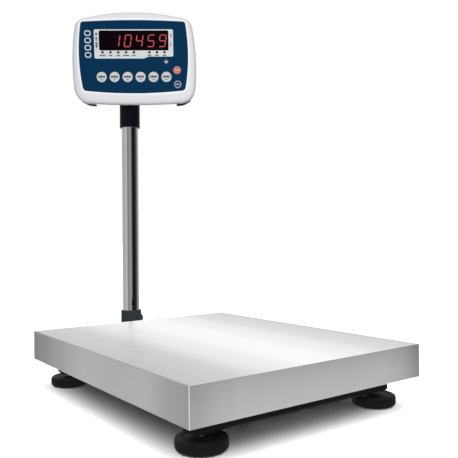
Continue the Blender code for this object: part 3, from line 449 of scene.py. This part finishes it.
def loft(sections, ring=False, shape=None):
    """Skin (outline, depth) sections of the face's frame, with end caps unless it closes on itself."""
    shape = shape or bmesh.new()
    loops = [[shape.verts.new((x, depth, z)) for x, z in outline] for outline, depth in sections]
    pairs = list(zip(loops, loops[1:]))
    if ring:
        pairs.append((loops[-1], loops[0]))
    else:
        shape.faces.new(loops[0])
        shape.faces.new(loops[-1])
    for near, far in pairs:
        for i, vert in enumerate(near):
            following = (i + 1) % len(near)
            shape.faces.new((vert, near[following], far[following], far[i]))
    return shape


def arc(centre, radius, start, end, steps, rise=None):
    """Points round a centre between two angles in quarter turns; rise is the upright radius of an ellipse."""
    angles = [math.pi / 2 * (start + (end - start) * k / steps) for k in range(steps + 1)]
    upright_radius = radius if rise is None else rise
    return [(centre[0] + radius * math.cos(a), centre[1] + upright_radius * math.sin(a)) for a in angles]


def disc(x, z, radius, steps=20):
    return arc((x, z), radius, 0, 4, steps)[:-1]


def bar(x, z, width, height):
    """Outline of a rectangle, anticlockwise from its top right."""
    return [(x + side_x * width / 2, z + side_z * height / 2)
            for side_x, side_z in ((1, 1), (-1, 1), (-1, -1), (1, -1))]


def rounded(width, height, radius, steps=8, centre=(0, 0)):
    """Outline of a rounded rectangle, anticlockwise."""
    corners = bar(*centre, width - 2 * radius, height - 2 * radius)
    return [point for quarter, corner in enumerate(corners)
            for point in arc(corner, radius, quarter, quarter + 1, steps)]


def round_box(low, high, radius, grow=0.0, steps=8):
    """Rounded outline of a box of the face's frame, grown on every side."""
    return rounded(high.x - low.x + 2 * grow, high.z - low.z + 2 * grow, radius, steps,
                   ((low.x + high.x) / 2, (low.z + high.z) / 2))


def barrel(form, side_steps=24, corner_steps=10):
    """Outline of a four-sided shape whose sides bow outwards, as (x, z), anticlockwise from the top right."""
    corners = [(form["half_top"], form["top_edge"]), (-form["half_top"], form["top_edge"]),
               (-form["half_bottom"], form["bottom_edge"]), (form["half_bottom"], form["bottom_edge"])]
    radii = [form["top_radius"]] * 2 + [form["bottom_radius"]] * 2
    side_bow = form["half_mid"] - (form["half_top"] + form["half_bottom"]) / 2
    bows = [(0, form["top_mid"] - form["top_edge"]), (-side_bow, 0),
            (0, form["bottom_mid"] - form["bottom_edge"]), (side_bow, 0)]

    def along(index, t):
        """The point at a share of the way along a side, which bows as a parabola."""
        sides = zip(corners[index % 4], corners[(index + 1) % 4], bows[index % 4])
        return tuple(a + (b - a) * t + 4 * t * (1 - t) * bow for a, b, bow in sides)

    def share(index, corner):
        """The part of a side that a corner's rounding takes."""
        return radii[corner % 4] / math.dist(corners[index % 4], corners[(index + 1) % 4])

    points = []
    for index in range(4):
        first, last = share(index, index), 1 - share(index, index + 1)
        points += [along(index, first + (last - first) * k / side_steps) for k in range(side_steps + 1)]
        start, end = points[-1], along(index + 1, share(index + 1, index + 1))
        tip = corners[(index + 1) % 4]
        for k in range(1, corner_steps):
            t = k / corner_steps
            points.append(tuple((1 - t) ** 2 * a + 2 * t * (1 - t) * c + t * t * b
                                for a, c, b in zip(start, tip, end)))
    return points


def offset(points, grow):
    """Move each point of an anticlockwise outline outwards."""
    moved = []
    for i, (x, z) in enumerate(points):
        before_x, before_z = points[i - 1]
        after_x, after_z = points[(i + 1) % len(points)]
        dx, dz = after_x - before_x, after_z - before_z
        length = math.hypot(dx, dz)
        moved.append((x + grow * dz / length, z - grow * dx / length))
    return moved


def drawn_in(inset):
    """The housing's outline scaled towards its middle by an inset."""
    wide = 1 - inset / HOUSING["half_mid"]
    high = 1 - inset / ((HOUSING["top_mid"] - HOUSING["bottom_mid"]) / 2)
    return [(x * wide, z * high) for x, z in barrel(HOUSING)]


def mixed(first, second, share):
    """The outline at a share of the way from one outline to another."""
    return [tuple(a + (b - a) * share for a, b in zip(p, q)) for p, q in zip(first, second)]


def soft_plate(name, outline, source, soft):
    """A plate of the CAD node's depth whose front edge is eased by a hair."""
    low, high = face_box(source)
    sections = [(offset(outline, -soft), low.y), (outline, low.y + soft), (outline, high.y)]
    return stand_in(name, loft(sections), source, FACE)


def upright(low, high, radius, steps=4):
    """A block between two (x, depth, z) corners, with rounded edges along its depth."""
    low, high = Vector(low), Vector(high)
    outline = round_box(low, high, radius, steps=steps)
    return loft([(outline, low.y), (outline, high.y)])


def add_peg(shape, centre, radius, end_radius, length, segments):
    """Add a round peg along the face's depth to a bmesh."""
    matrix = Matrix.Translation(centre) @ Matrix.Rotation(math.pi / 2, 4, "X")
    bmesh.ops.create_cone(shape, cap_ends=True, segments=segments, radius1=radius, radius2=end_radius,
                          depth=length, matrix=matrix)


def blank(name, shape):
    """An object of the face's frame that only serves to cut others."""
    bmesh.ops.recalc_face_normals(shape, faces=shape.faces)
    made = new_object(name, shape)
    made.matrix_world = FACE
    return made


def subtract(piece, cutter):
    """Subtract an object from a piece, for good, and remove it."""
    step = piece.modifiers.new(cutter.name, "BOOLEAN")
    step.object = cutter
    step.solver = "EXACT"
    bpy.context.view_layer.update()
    baked = bpy.data.meshes.new_from_object(piece.evaluated_get(bpy.context.evaluated_depsgraph_get()))
    piece.modifiers.clear()
    piece.data = baked
    baked.shade_smooth()
    baked.set_sharp_from_angle(angle=math.radians(40))
    bpy.data.objects.remove(cutter)


def cut(piece, shape, name):
    """Subtract a shape of the face's frame from a piece, for good."""
    subtract(piece, blank(name, shape))


def printed(name, outlines, surface, material, body="indicator", lift=LIFT, skin=SKIN):
    """Flat printed shapes as one thin piece that stands a hair above a surface of the face."""
    shape = bmesh.new()
    for outline in outlines:
        loft([(outline, surface - lift - skin), (outline, surface - lift)], shape=shape)
    return mesh_piece(name, shape, material, body, FACE)


def printed_ring(name, outer, inner, surface, material, body="indicator"):
    """The thin printed ring between two outlines of equal length."""
    front, back = surface - LIFT - SKIN, surface - LIFT
    sections = [(outer, back), (outer, front), (inner, front), (inner, back)]
    mesh_piece(name, loft(sections, ring=True), material, body, FACE)


# --- Platform ---
def pan_sheet():
    """The pan as folded sheet: bent top edges, welded and ground corners, and a hollow underside."""
    low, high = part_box("pan")
    shape = bmesh.new()
    centre, size = (low + high) / 2, high - low
    bmesh.ops.create_cube(shape, size=1, matrix=Matrix.Translation(centre) @ Matrix.Diagonal((*size, 1)))
    underside = [f for f in shape.faces if f.calc_center_median().z < low.z + SHEET]
    bmesh.ops.delete(shape, geom=underside, context="FACES_ONLY")
    folds = [e for e in shape.edges if not e.is_boundary]
    bmesh.ops.bevel(shape, geom=folds, offset=FOLD_RADIUS, segments=5, affect="EDGES", profile=0.5)
    made = stand_in("pan_sheet", shape, "pan")
    wall = made.modifiers.new("sheet", "SOLIDIFY")
    wall.thickness = SHEET
    wall.offset = -1
    wall.use_even_offset = True
    # painted shade: the inside of the pan is near black so that little light bounces under it and the floor
    # beneath stays dark
    dull = moulded("painted_shade_underside", (0.03, 0.03, 0.033), 0.7, 500.0, 0.0001, 0.2, shine=0.0)
    made.data.materials.append(dull)
    wall.material_offset = 1
    wall.material_offset_rim = 0
    flat = made.modifiers.new("flat_sides", "WEIGHTED_NORMAL")
    flat.keep_sharp = True
    made.visible_glossy = False


def foot_pads():
    """Moulded feet: a shallow dish between two rings, soft edges, and a groove round the side."""
    shoulder, heel_width, heel_height = 0.0040, 0.0070, 0.0065
    bore, bore_floor, bore_top, neck = 0.0073, 0.0060, 0.0120, 0.0053
    dish, dish_start, slope = 0.0012, 0.0120, 0.0015
    groove, sole = 0.0006, 0.0006
    for number in range(1, 5):
        source = f"foot_pad_{number}"
        low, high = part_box(source)
        radius, height = (high.x - low.x) / 2, high.z - low.z
        dish_end = radius - 0.0100
        profile = [(0, bore_floor), (bore, bore_floor), (bore, bore_top), (neck, bore_top), (neck, height),
                   (dish_start, height), (dish_start + slope, height - dish), (dish_end, height - dish),
                   (dish_end + dish, height)]
        profile += arc((radius - shoulder, height - shoulder), shoulder, 1, 0, 6)
        profile += [(radius, height * 0.52), (radius - groove, height * 0.50),
                    (radius - groove, height * 0.46), (radius, height * 0.44)]
        profile += arc((radius - heel_width, heel_height), heel_width, 0, -1, 8, rise=heel_height)
        profile += [(radius - 0.0090, 0), (radius - 0.0095, sole), (0, sole)]
        stand_in(f"moulded_foot_{number}", spun(profile), source, Matrix.Translation(middle(source, low.z)))


# --- Column ---
def chromed_tube():
    """The column's tube, finely turned, open at both ends."""
    low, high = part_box("column_tube")
    radius = (high.x - low.x) / 2
    soft = 0.0005
    profile = [(radius, low.z + soft), (radius, high.z - soft), (radius - soft, high.z),
               (radius - TUBE_WALL, high.z), (radius - TUBE_WALL, low.z), (radius - soft, low.z)]
    axis = Matrix.Translation(middle("column_tube", 0))
    tube = stand_in("chromed_tube", spun(profile, ring=True), "column_tube", axis)
    tube.visible_glossy = False


# --- Indicator housing ---
# The lip round the panel, as (distance out from the panel, depth)
LIP = [(0.0002, 0.0008), (0.0007, 0.0002), (0.0014, 0.0), (0.0024, 0.0001), (0.0034, 0.0005)]
# The bezel from the lip to the housing's rim, as (share of the way, depth)
FLANK = [(0.03, 0.0008), (0.20, 0.0015), (0.40, 0.0023), (0.60, 0.0035), (0.76, 0.0050), (0.88, 0.0067),
         (0.955, 0.0087), (0.990, 0.0110), (1.0, 0.0135), (1.0, PARTING - 0.0006)]
# The rounded back of the housing, as (depth, inset)
BACK = [(0.0224, 0.0), (0.0236, 0.0), (0.0300, 0.0003), (0.0360, 0.0010), (0.0420, 0.0030), (0.0470, 0.0055),
        (0.0530, 0.0100), (0.0575, 0.0145), (0.0605, 0.0185), (0.0616, 0.0205), (0.0620, 0.0225)]


def bezel_shell():
    """The bezel: a recessed floor under the film, a raised bright lip and a bowed, rounded rim."""
    panel = offset(barrel(PANEL), PANEL_GAP)
    lip, rim = offset(barrel(PANEL), LIP_WIDTH), barrel(HOUSING)
    floor_depth, seam = 0.0033, 0.0006
    sections = [(panel, floor_depth)]
    sections += [(offset(panel, grow), depth) for grow, depth in LIP]
    sections += [(mixed(lip, rim, share), depth) for share, depth in FLANK]
    sections += [(drawn_in(seam), PARTING), (drawn_in(HOUSING_WALL), PARTING),
                 (drawn_in(HOUSING_WALL), 0.0130), (mixed(offset(panel, 0.002), rim, 0.7), 0.0090),
                 (offset(panel, 0.001), 0.0063)]
    shell = stand_in("bezel_shell", loft(sections), "front_cover", FACE, 45)
    low, high = face_box("display_window")
    ledge_x, ledge_z = 0.0040, 0.0030
    cut(shell, upright((low.x + ledge_x, 0.001, low.z + ledge_z), (high.x - ledge_x, 0.012, high.z - ledge_z),
                       0.002, 8), "bezel_opening")


def neck_notch(grow, radius):
    """A block that clears the neck, open below and behind."""
    half, front, roof, below = 0.0320 + grow, 0.0270 - grow, NECK_Z + 0.034 + grow, -0.12
    return upright((NECK_X - half, front, below), (NECK_X + half, THROUGH, roof), radius)


def rear_shell():
    """The housing's rear half: hollow, with a rounded back, a notch for the neck and a battery hatch."""
    first = face_box("rear_cover")[0].y
    outside = [(depth, inset) for depth, inset in BACK if depth >= first - 0.0001]
    back_wall = 0.0020
    inside = [(first - 0.002, HOUSING_WALL)]
    inside += [(depth - back_wall, inset + HOUSING_WALL) for depth, inset in outside[1:]]
    hollow = blank("rear_hollow", loft([(drawn_in(inset), depth) for depth, inset in inside]))
    cut(hollow, neck_notch(HOUSING_WALL, 0.006), "notch_wall")
    solid = loft([(drawn_in(inset), depth) for depth, inset in outside])
    shell = stand_in("rear_shell", solid, "rear_cover", FACE, 40)
    subtract(shell, hollow)
    cut(shell, neck_notch(0.0, 0.004), "notch")
    recesses = bmesh.new()
    mouth, floor_radius, length = 0.0045, 0.0040, 0.0216
    for x, z in ((-0.080, -0.050), (0.080, -0.050), (-0.080, 0.048), (0.080, 0.048)):
        add_peg(recesses, (x, THROUGH - 0.010, z), mouth, floor_radius, length, 32)
    cut(shell, recesses, "screw_recesses")
    low, high = face_box("battery_door")
    ledge_x, ledge_z, play = 0.0040, 0.0030, 0.0003
    cut(shell, upright((low.x + ledge_x, low.y - 0.01, low.z + ledge_z),
                       (high.x - ledge_x, THROUGH, high.z - ledge_z), 0.003), "battery_hatch")
    cut(shell, upright((low.x - play, low.y - play, low.z - play), (high.x + play, THROUGH, high.z + play),
                       0.0022), "battery_ledge")


def battery_lid():
    """The battery door: a thin plate with soft edges and a row of grip lines near its top."""
    low, high = face_box("battery_door")
    soft = 0.0005
    outline = round_box(low, high, 0.0020, steps=5)
    sections = [(outline, low.y), (outline, high.y - soft), (offset(outline, -soft), high.y)]
    lid = stand_in("battery_lid", loft(sections), "battery_door", FACE, 40)
    x = (low.x + high.x) / 2
    first_line, pitch, half_length, half_width, groove = 0.0060, 0.0024, 0.012, 0.0006, 0.0006
    for line in range(5):
        z = high.z - first_line - pitch * line
        line_block = upright((x - half_length, high.y - groove, z - half_width),
                             (x + half_length, high.y + 0.01, z + half_width), 0.0005, 3)
        cut(lid, line_block, f"grip_line_{line + 1}")


def corner_pads():
    """Soft rubber pads under the housing's lower corners, which taper off towards their outer ends."""
    thin, thick, round_end, taper_end = 0.0006, 0.0028, 0.003, 0.6
    edge, shoulder = 0.0012, 0.0035
    for number in (1, 2):
        low, high = face_box(f"indicator_foot_{number}")
        side = 1 if low.x > 0 else -1
        near, far = (low.x, high.x) if side > 0 else (-high.x, -low.x)
        upper = [(x, z) for x, z in offset(barrel(HOUSING), 0.0004) if near < side * x < far and z < 0]
        sections = []
        for depth, share in ((low.y, 0.55), (low.y + edge, 0.95), (low.y + shoulder, 1.0),
                             (high.y - shoulder, 1.0), (high.y - edge, 0.95), (high.y, 0.55)):
            lower = []
            for x, z in upper:
                outer = min(1.0, (far - side * x) / (far - near) * 2)
                inner = min(1.0, (side * x - near) / round_end + taper_end)
                lower.append((x, z - share * (thin + thick * outer * inner)))
            sections.append((upper + lower[::-1], depth))
        stand_in(f"corner_pad_{number}", loft(sections), f"indicator_foot_{number}", FACE, 50)


# --- Keypad ---
KEYS = [f"key_{k}" for k in range(1, 7)] + ["key_clear", "key_power"]
WINDOW_PLAY = 0.0003  # gap between the window and the film's opening
KEY_PLAY = 0.0004  # gap between a key and the film's opening


def key_centre(name):
    """Across and up the face, and the key's radius."""
    low, high = face_box(name)
    return (low.x + high.x) / 2, (low.z + high.z) / 2, (high.x - low.x) / 2


def window_hole(radius, grow):
    """A block that cuts the display window's opening."""
    outline = round_box(*face_box("display_window"), radius, grow)
    return loft([(outline, -0.005), (outline, 0.010)])


def panel_film():
    """The blue keypad film, with real openings for the window and the keys."""
    film = soft_plate("panel_film", offset(barrel(PANEL), FILM_EDGE), "keypad_overlay", 0.00015)
    openings = window_hole(0.0033, WINDOW_PLAY)
    for name in KEYS:
        x, z, radius = key_centre(name)
        add_peg(openings, (x, 0.0025, z), radius + KEY_PLAY, radius + KEY_PLAY, 0.015, 64)
    cut(film, openings, "film_openings")


def key_domes():
    """Softly domed keys."""
    rim, rise = 0.0006, 0.00012
    for name in KEYS:
        x, z, radius = key_centre(name)
        low, high = face_box(name)
        profile = [(0, high.y - low.y), (radius, high.y - low.y)]
        profile += arc((radius - rim, rim), rim, 0, -1, 5)
        profile += [(radius * share, -rise * (1 - share ** 2)) for share in (0.75, 0.5, 0.25)]
        profile += [(0, -0.00015)]
        place = FACE @ Matrix.Translation((x, low.y, z)) @ Matrix.Rotation(-math.pi / 2, 4, "X")
        stand_in(f"dome_{name}", spun(profile, 64), name, place)


def bar_row(x, z, count, pitch, width, height):
    """A centred row of bars, in place of a word."""
    return [bar(x + (k - (count - 1) / 2) * pitch, z, width, height) for k in range(count)]


def key_legends():
    """Generic marks on the keys: short rows of bars in place of words, and rings on the two small keys."""
    dome = 0.00012
    for name in KEYS[:6]:
        x, z, _ = key_centre(name)
        marks = bar_row(x, z + 0.0004, 5, 0.0027, 0.0021, 0.0042)
        marks += bar_row(x, z - 0.0056, 2, 0.0023, 0.0018, 0.0020)
        printed(f"legend_{name}", marks, face_box(name)[0].y - dome, INK, body=name)
    for name, pitch, width, height, outer, lift, color in (
            ("key_clear", 0.0027, 0.0018, 0.0034, 0.0004, 0.00006, PINK),
            ("key_power", 0.0025, 0.0016, 0.0026, 0.0009, 0.00008, PALE)):
        x, z, radius = key_centre(name)
        surface = face_box(name)[0].y
        printed(f"legend_{name}", bar_row(x, z, 3, pitch, width, height), surface - dome, PALE, body=name)
        printed_ring(f"ring_{name}", disc(x, z, radius - outer, 64), disc(x, z, radius - 0.0022, 64),
                     surface - lift, color, name)


# --- Label and printed marks ---
LABEL_LEFT, LABEL_RIGHT, LABEL_TOP = 0.0096, 0.0092, 0.0022  # of the label beyond the window
LABEL_DEEP, LABEL_SHALLOW = 0.0156, 0.0120  # of its lower edge below the window
STEP_X, STEP_HALF = 0.0250, 0.0035  # where that edge steps up, and half its length
LAMPS = ((0.0065, 0.0153, 5), (0.0980, 0.0149, 3))  # start from the window's left, pitch and count
LAMP_RADIUS, LAMP_DROP, WORD_DROP = 0.0026, 0.0036, 0.0098  # below the window
LONG_WORDS = (0, 3)  # the lamps whose word has five bars


def label_frame():
    """The pale printed frame round the window, deeper below it on the left."""
    low, high = face_box("display_window")
    left, right, top = low.x - LABEL_LEFT, high.x + LABEL_RIGHT, high.z + LABEL_TOP
    deep, shallow = low.z - LABEL_DEEP, low.z - LABEL_SHALLOW
    step_left, step_right = STEP_X - STEP_HALF, STEP_X + STEP_HALF
    radius, soft_x, soft_z = 0.0028, 0.003, 0.0004
    outline = arc((right - radius, top - radius), radius, 0, 1, 6)
    outline += arc((left + radius, top - radius), radius, 1, 2, 6)
    outline += arc((left + radius, deep + radius), radius, 2, 3, 6)
    outline += [(step_left - soft_x, deep), (step_left, deep + soft_z),
                (step_right, shallow - soft_z), (step_right + soft_x, shallow)]
    outline += arc((right - radius, shallow + radius), radius, 3, 4, 6)
    film = face_box("keypad_overlay")[0].y
    plate = printed("label_frame", [outline], film, LABEL)
    cut(plate, window_hole(0.0032, 0.0002), "label_opening")


def label_marks():
    """Lamp dots under the window, rows of tiny bars under them, and marks at both sides."""
    low, high = face_box("display_window")
    surface = face_box("keypad_overlay")[0].y - LIFT - SKIN
    lamps = [low.x + start + pitch * k for start, pitch, count in LAMPS for k in range(count)]
    printed("lamp_dots", [disc(x, low.z - LAMP_DROP, LAMP_RADIUS) for x in lamps], surface, INK)
    words = []
    for place, x in enumerate(lamps):
        bars = 5 if place in LONG_WORDS else 3
        words += bar_row(x, low.z - WORD_DROP, bars, 0.0024, 0.0018, 0.0027)
    printed("lamp_words", words, surface, INK)
    x = low.x - 0.0050
    side = []
    for drop in (0.0060, 0.0150, 0.0240, 0.0290):
        z = high.z - drop
        side += [bar(x, z, 0.0040, 0.0034), bar(x, z - 0.0036, 0.0030, 0.0018)]
    printed("left_marks", side, surface, INK)
    x = high.x + 0.0045
    printed("right_marks", [disc(x, high.z - 0.0280, 0.0014), bar(x, high.z - 0.0235, 0.0018, 0.0018)],
            surface, INK)
    printed("right_marks_red", [disc(x, high.z - 0.0085, 0.0016),
                                bar(x + 0.0005, high.z - 0.0125, 0.0016, 0.0022)], surface, RED_INK)


def panel_marks():
    """Generic pale marks on the film: a column of rings on the left and a small sign under the label."""
    low, high = face_box("display_window")
    film = face_box("keypad_overlay")[0].y
    x, top, bottom = low.x - 0.0220, high.z + 0.0020, low.z - LABEL_DEEP
    width, stroke, gap, count = 0.0130, 0.0024, 0.0030, 4
    pitch = (top - bottom) / count
    height = pitch - gap
    corner = height * 0.42
    for k in range(count):
        centre = (x, top - pitch * (k + 0.5))
        outer = rounded(width, height, corner, centre=centre)
        inner = rounded(width - 2 * stroke, height - 2 * stroke, corner - stroke, centre=centre)
        printed_ring(f"column_mark_{k + 1}", outer, inner, film, PALE)
    sign_x, sign_z = high.x - 0.0050, low.z - 0.0214
    printed("small_sign", [bar(sign_x, sign_z + 0.0034, 0.0010, 0.0022), bar(sign_x, sign_z, 0.0074, 0.0022),
                           bar(sign_x, sign_z - 0.0026, 0.0040, 0.0016)], film, PALE)


# --- Display ---
SEGMENTS_OF = {"0": "abcdef", "1": "bc", "4": "fgbc", "5": "afgcd", "9": "abcdfg"}
READING = "10459"
DIGIT_HEIGHT, DIGIT_WIDTH, DIGIT_PITCH = 0.0245, 0.0144, 0.02265
FIRST_DIGIT = -0.0342  # of the first digit from the window's middle
DIGIT_DROP = 0.0008  # of the reading below the window's middle
SLANT = 0.15
STROKE = 0.0025
SEGMENT_GAP = 0.0001  # half the gap between two segments
CORE_INSET = 0.0007  # of a segment's bright core
SEGMENT_SKIN, SEGMENT_LIFT = 0.00004, 0.00002


def segment(kind, centre_x, centre_z, inset=0.0):
    """Hexagonal outline of one segment of a slanted digit."""
    half_w, half_h = DIGIT_WIDTH / 2 - STROKE / 2, DIGIT_HEIGHT / 2 - STROKE / 2
    thick, gap = STROKE / 2 - inset, SEGMENT_GAP + inset
    level = {"a": half_h, "g": 0.0, "d": -half_h}
    if kind in level:
        z = level[kind]
        reach = half_w - gap
        points = [(reach, z), (reach - thick, z + thick), (-reach + thick, z + thick), (-reach, z),
                  (-reach + thick, z - thick), (reach - thick, z - thick)]
    else:
        x = half_w if kind in "bc" else -half_w
        low, high = (gap, half_h - gap) if kind in "bf" else (-half_h + gap, -gap)
        points = [(x, high), (x - thick, high - thick), (x - thick, low + thick), (x, low),
                  (x + thick, low + thick), (x + thick, high - thick)]
    return [(centre_x + x + SLANT * z, centre_z + z) for x, z in points]


def window_lens():
    """The display window's acrylic."""
    outline = round_box(*face_box("display_window"), 0.003)
    soft_plate("window_lens", outline, "display_window", 0.0003)


def reading():
    """The figures in lit segments just over the window, each segment with a paler core."""
    low, high = face_box("display_window")
    first_x, z = (low.x + high.x) / 2 + FIRST_DIGIT, (low.z + high.z) / 2 - DIGIT_DROP
    glow, core = [], []
    for place, figure in enumerate(READING):
        x = first_x + place * DIGIT_PITCH
        glow += [segment(kind, x, z) for kind in SEGMENTS_OF[figure]]
        core += [segment(kind, x, z, CORE_INSET) for kind in SEGMENTS_OF[figure]]
    core_surface = low.y - SEGMENT_SKIN - SEGMENT_LIFT
    printed("reading_glow", glow, low.y, SEGMENT_EDGE, lift=SEGMENT_LIFT, skin=SEGMENT_SKIN)
    printed("reading_core", core, core_surface, SEGMENT_CORE, lift=SEGMENT_LIFT, skin=SEGMENT_SKIN)


# --- Pieces that bend ---
def bending(name, source, start, end):
    """A copy of a CAD piece, finely divided along its length from start towards end, shown in place of it."""
    shape = bmesh.new()
    shape.from_mesh(frame["nodes"][source].data)
    along = (end - start).normalized()
    step = 0.004
    reach = [vert.co.dot(along) for vert in shape.verts]
    place = min(reach) + step
    while place < max(reach):
        bmesh.ops.bisect_plane(shape, geom=shape.verts[:] + shape.edges[:] + shape.faces[:], dist=0.000001,
                               plane_co=along * place, plane_no=along)
        place += step
    made = new_object(name, shape, MATERIALS[SLOT_OF[source]], 50)
    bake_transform(made)
    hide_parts(source)


def bending_pieces():
    """The load cell, which bends under load, and the cable that follows the indicator's tilt."""
    fixed = middle("lower_spacer")
    bending("bending_cell", "load_cell", fixed, middle("upper_spacer", fixed.z))
    foot = middle("cable_whip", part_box("swivel_collar")[1].z)
    top = middle("cable_whip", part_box("cable_gland")[0].z - 0.001)
    bending("bending_cable", "cable_whip", foot, top)


# --- CAD nodes that stay ---
def finish_cad_nodes():
    """Give every CAD node its material, and small rounded edges where it stays in view."""
    for name, item in frame["nodes"].items():
        item.data.materials.clear()
        item.data.materials.append(SOCKET if name == "column_socket" else MATERIALS[SLOT_OF[name]])
        if item.hide_render:
            continue
        edge = item.modifiers.new("rounded_edges", "BEVEL")
        edge.width = 0.0004
        edge.segments = 2
        edge.limit_method = "ANGLE"
        edge.angle_limit = math.radians(40)


def keep_out_of_reflections():
    """Keep the column's pieces out of the pan's brushed top, which is too dull to mirror them."""
    for name in ("column_socket", "socket_screw", "swivel_collar"):
        frame["nodes"][name].visible_glossy = False


# --- Studio ---
# The camera's place from the middle of the pan's top, and how it is held
CAMERA_FROM_PAN = Vector((-0.57205, -0.82658, 0.16388))
HEADING, PITCH, ROLL = math.radians(36.553), math.radians(0.924), math.radians(-0.559)
LENS, SENSOR = 47.01, 36  # in millimetres


def camera():
    pan_top = middle("pan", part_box("pan")[1].z)
    turn = Matrix.Rotation(-HEADING, 4, "Z") @ Matrix.Rotation(math.pi / 2 + PITCH, 4, "X")
    data = bpy.data.cameras.new("camera")
    data.lens = LENS
    data.sensor_width = SENSOR
    made = linked("camera", data)
    made.matrix_world = Matrix.Translation(pan_top + CAMERA_FROM_PAN) @ turn @ Matrix.Rotation(ROLL, 4, "Z")
    bpy.context.scene.camera = made


# What reflections see round the horizon: (degrees from +Y towards +X, brightness)
SURROUNDINGS = [(-180, 0.03), (-172, 0.08), (-160, 0.36), (-145, 0.38), (-130, 0.26), (-114, 0.28),
                (-101, 0.60), (-85, 0.60), (-64, 0.49), (-18, 0.48), (-6, 0.90), (60, 0.90), (76, 0.43),
                (103, 0.29), (125, 0.07), (142, 0.025), (157, 0.01), (173, 0.01), (180, 0.03)]
SKY_GLOW = 1.15  # brightness overhead, as reflections see it
FLOOR_GLOW = 0.55  # brightness of the floor near the object, as reflections see it
GLOW_REACH = (0.60, 0.70)  # distance over which that glow gives way to the surroundings
GLOW_RISE = (0.30, 0.75)  # sine of the heights between which the bands give way to the sky
FILL = 0.30  # brightness overhead, as matt surfaces see it
HORIZON = 0.003  # brightness at the horizon, as matt surfaces see it
FILL_RISE = (0.26, 0.72)  # sine of the heights between which one turns into the other
FLOOR_TONE = 0.20  # of the floor, as other surfaces see it
SEEN_FLOOR = 8.40  # how much paler the floor looks to the camera, so that it runs into the white
FLOOR_DROP = 0.0002  # of the floor below the feet
# (name, place, what it points at, width and height, watts)
SOFTBOXES = [("key_light", (-1.35, -2.45, 0.36), (-0.05, 0.2, 0.60), (2.2, 0.9), 92),
             ("back_light", (1.5, 2.2, 1.10), (-0.05, 0.2, 0.45), (1.6, 1.0), 30)]


def surroundings(tree, direction):
    """Brightness that a reflection sees in a direction: soft upright bands, and an even glow overhead."""
    part = parts(tree, direction)
    heading = calc(tree, "ARCTAN2", part["X"], part["Y"])
    share = calc(tree, "MULTIPLY_ADD", heading, 1 / math.tau, 0.5)
    bands = ramp(tree, share, [((degrees + 180) / 360, value) for degrees, value in SURROUNDINGS], "LINEAR")
    return blend_colors(tree, remap(tree, part["Z"], *GLOW_RISE), bands, shade((SKY_GLOW,) * 3))


def floor():
    """A pale matt floor: bright to the camera, and a soft glow near the object to reflections."""
    made, tree, shader = new_material("studio_floor")
    tree.nodes.remove(shader)
    path = node(tree, "ShaderNodeLightPath").outputs
    tone = calc(tree, "MULTIPLY_ADD", path["Is Camera Ray"], SEEN_FLOOR,
                spread_of(tree, noise(tree, 40.0), FLOOR_TONE, 0.005))
    color = node(tree, "ShaderNodeCombineColor", {"Red": tone, "Green": tone, "Blue": tone}).outputs["Color"]
    matt = node(tree, "ShaderNodeBsdfDiffuse", {"Color": color})
    incoming = node(tree, "ShaderNodeNewGeometry").outputs["Incoming"]
    away = node(tree, "ShaderNodeVectorMath", {0: incoming, 1: (-1, -1, -1)}, operation="MULTIPLY")
    far = remap(tree, path["Ray Length"], *GLOW_REACH)
    seen = blend_colors(tree, far, shade((FLOOR_GLOW,) * 3), surroundings(tree, away.outputs["Vector"]))
    glow = node(tree, "ShaderNodeEmission", {"Color": seen})
    either = node(tree, "ShaderNodeMixShader", {"Fac": path["Is Glossy Ray"]})
    tree.links.new(matt.outputs["BSDF"], either.inputs[1])
    tree.links.new(glow.outputs["Emission"], either.inputs[2])
    tree.links.new(either.outputs["Shader"], tree.nodes["Material Output"].inputs["Surface"])
    made.cycles.emission_sampling = "NONE"
    shape = bmesh.new()
    bmesh.ops.create_grid(shape, x_segments=1, y_segments=1, size=30)
    plane = new_object("studio_floor", shape, made)
    plane.location.z = -FLOOR_DROP


def world():
    """White to the camera, dim and only from above to matt surfaces, soft upright bands to reflections."""
    made = bpy.data.worlds.new("studio")
    made.use_nodes = True
    made.cycles.sampling_method = "NONE"
    tree = made.node_tree
    path = node(tree, "ShaderNodeLightPath").outputs
    direction = node(tree, "ShaderNodeTexCoord").outputs["Generated"]
    fill = remap(tree, parts(tree, direction)["Z"], *FILL_RISE, HORIZON, FILL)
    plain = blend_colors(tree, path["Is Camera Ray"], fill, (1, 1, 1, 1))
    seen = blend_colors(tree, path["Is Glossy Ray"], plain, surroundings(tree, direction))
    tree.links.new(seen, tree.nodes["Background"].inputs["Color"])
    bpy.context.scene.world = made


def softbox(name, location, target, size, power):
    """An even light that reaches every surface but the floor, and that no reflection shows."""
    data = bpy.data.lights.new(name, "AREA")
    data.shape = "RECTANGLE"
    data.size, data.size_y = size
    data.energy = power
    made = linked(name, data)
    made.location = location
    made.rotation_mode = "QUATERNION"
    made.rotation_quaternion = (Vector(target) - Vector(location)).to_track_quat("-Z", "Y")
    made.visible_glossy = False
    spared = bpy.data.collections.new(f"{name}_spares")
    spared.objects.link(bpy.data.objects["studio_floor"])
    made.light_linking.receiver_collection = spared
    spared.collection_objects[0].light_linking.link_state = "EXCLUDE"


def studio():
    camera()
    floor()
    world()
    for settings in SOFTBOXES:
        softbox(*settings)
    bpy.context.scene.view_settings.view_transform = "Standard"


# --- Build ---
pan_sheet()
foot_pads()
chromed_tube()
bezel_shell()
rear_shell()
battery_lid()
corner_pads()
panel_film()
key_domes()
key_legends()
label_frame()
label_marks()
panel_marks()
window_lens()
reading()
bending_pieces()
finish_cad_nodes()
keep_out_of_reflections()
studio()
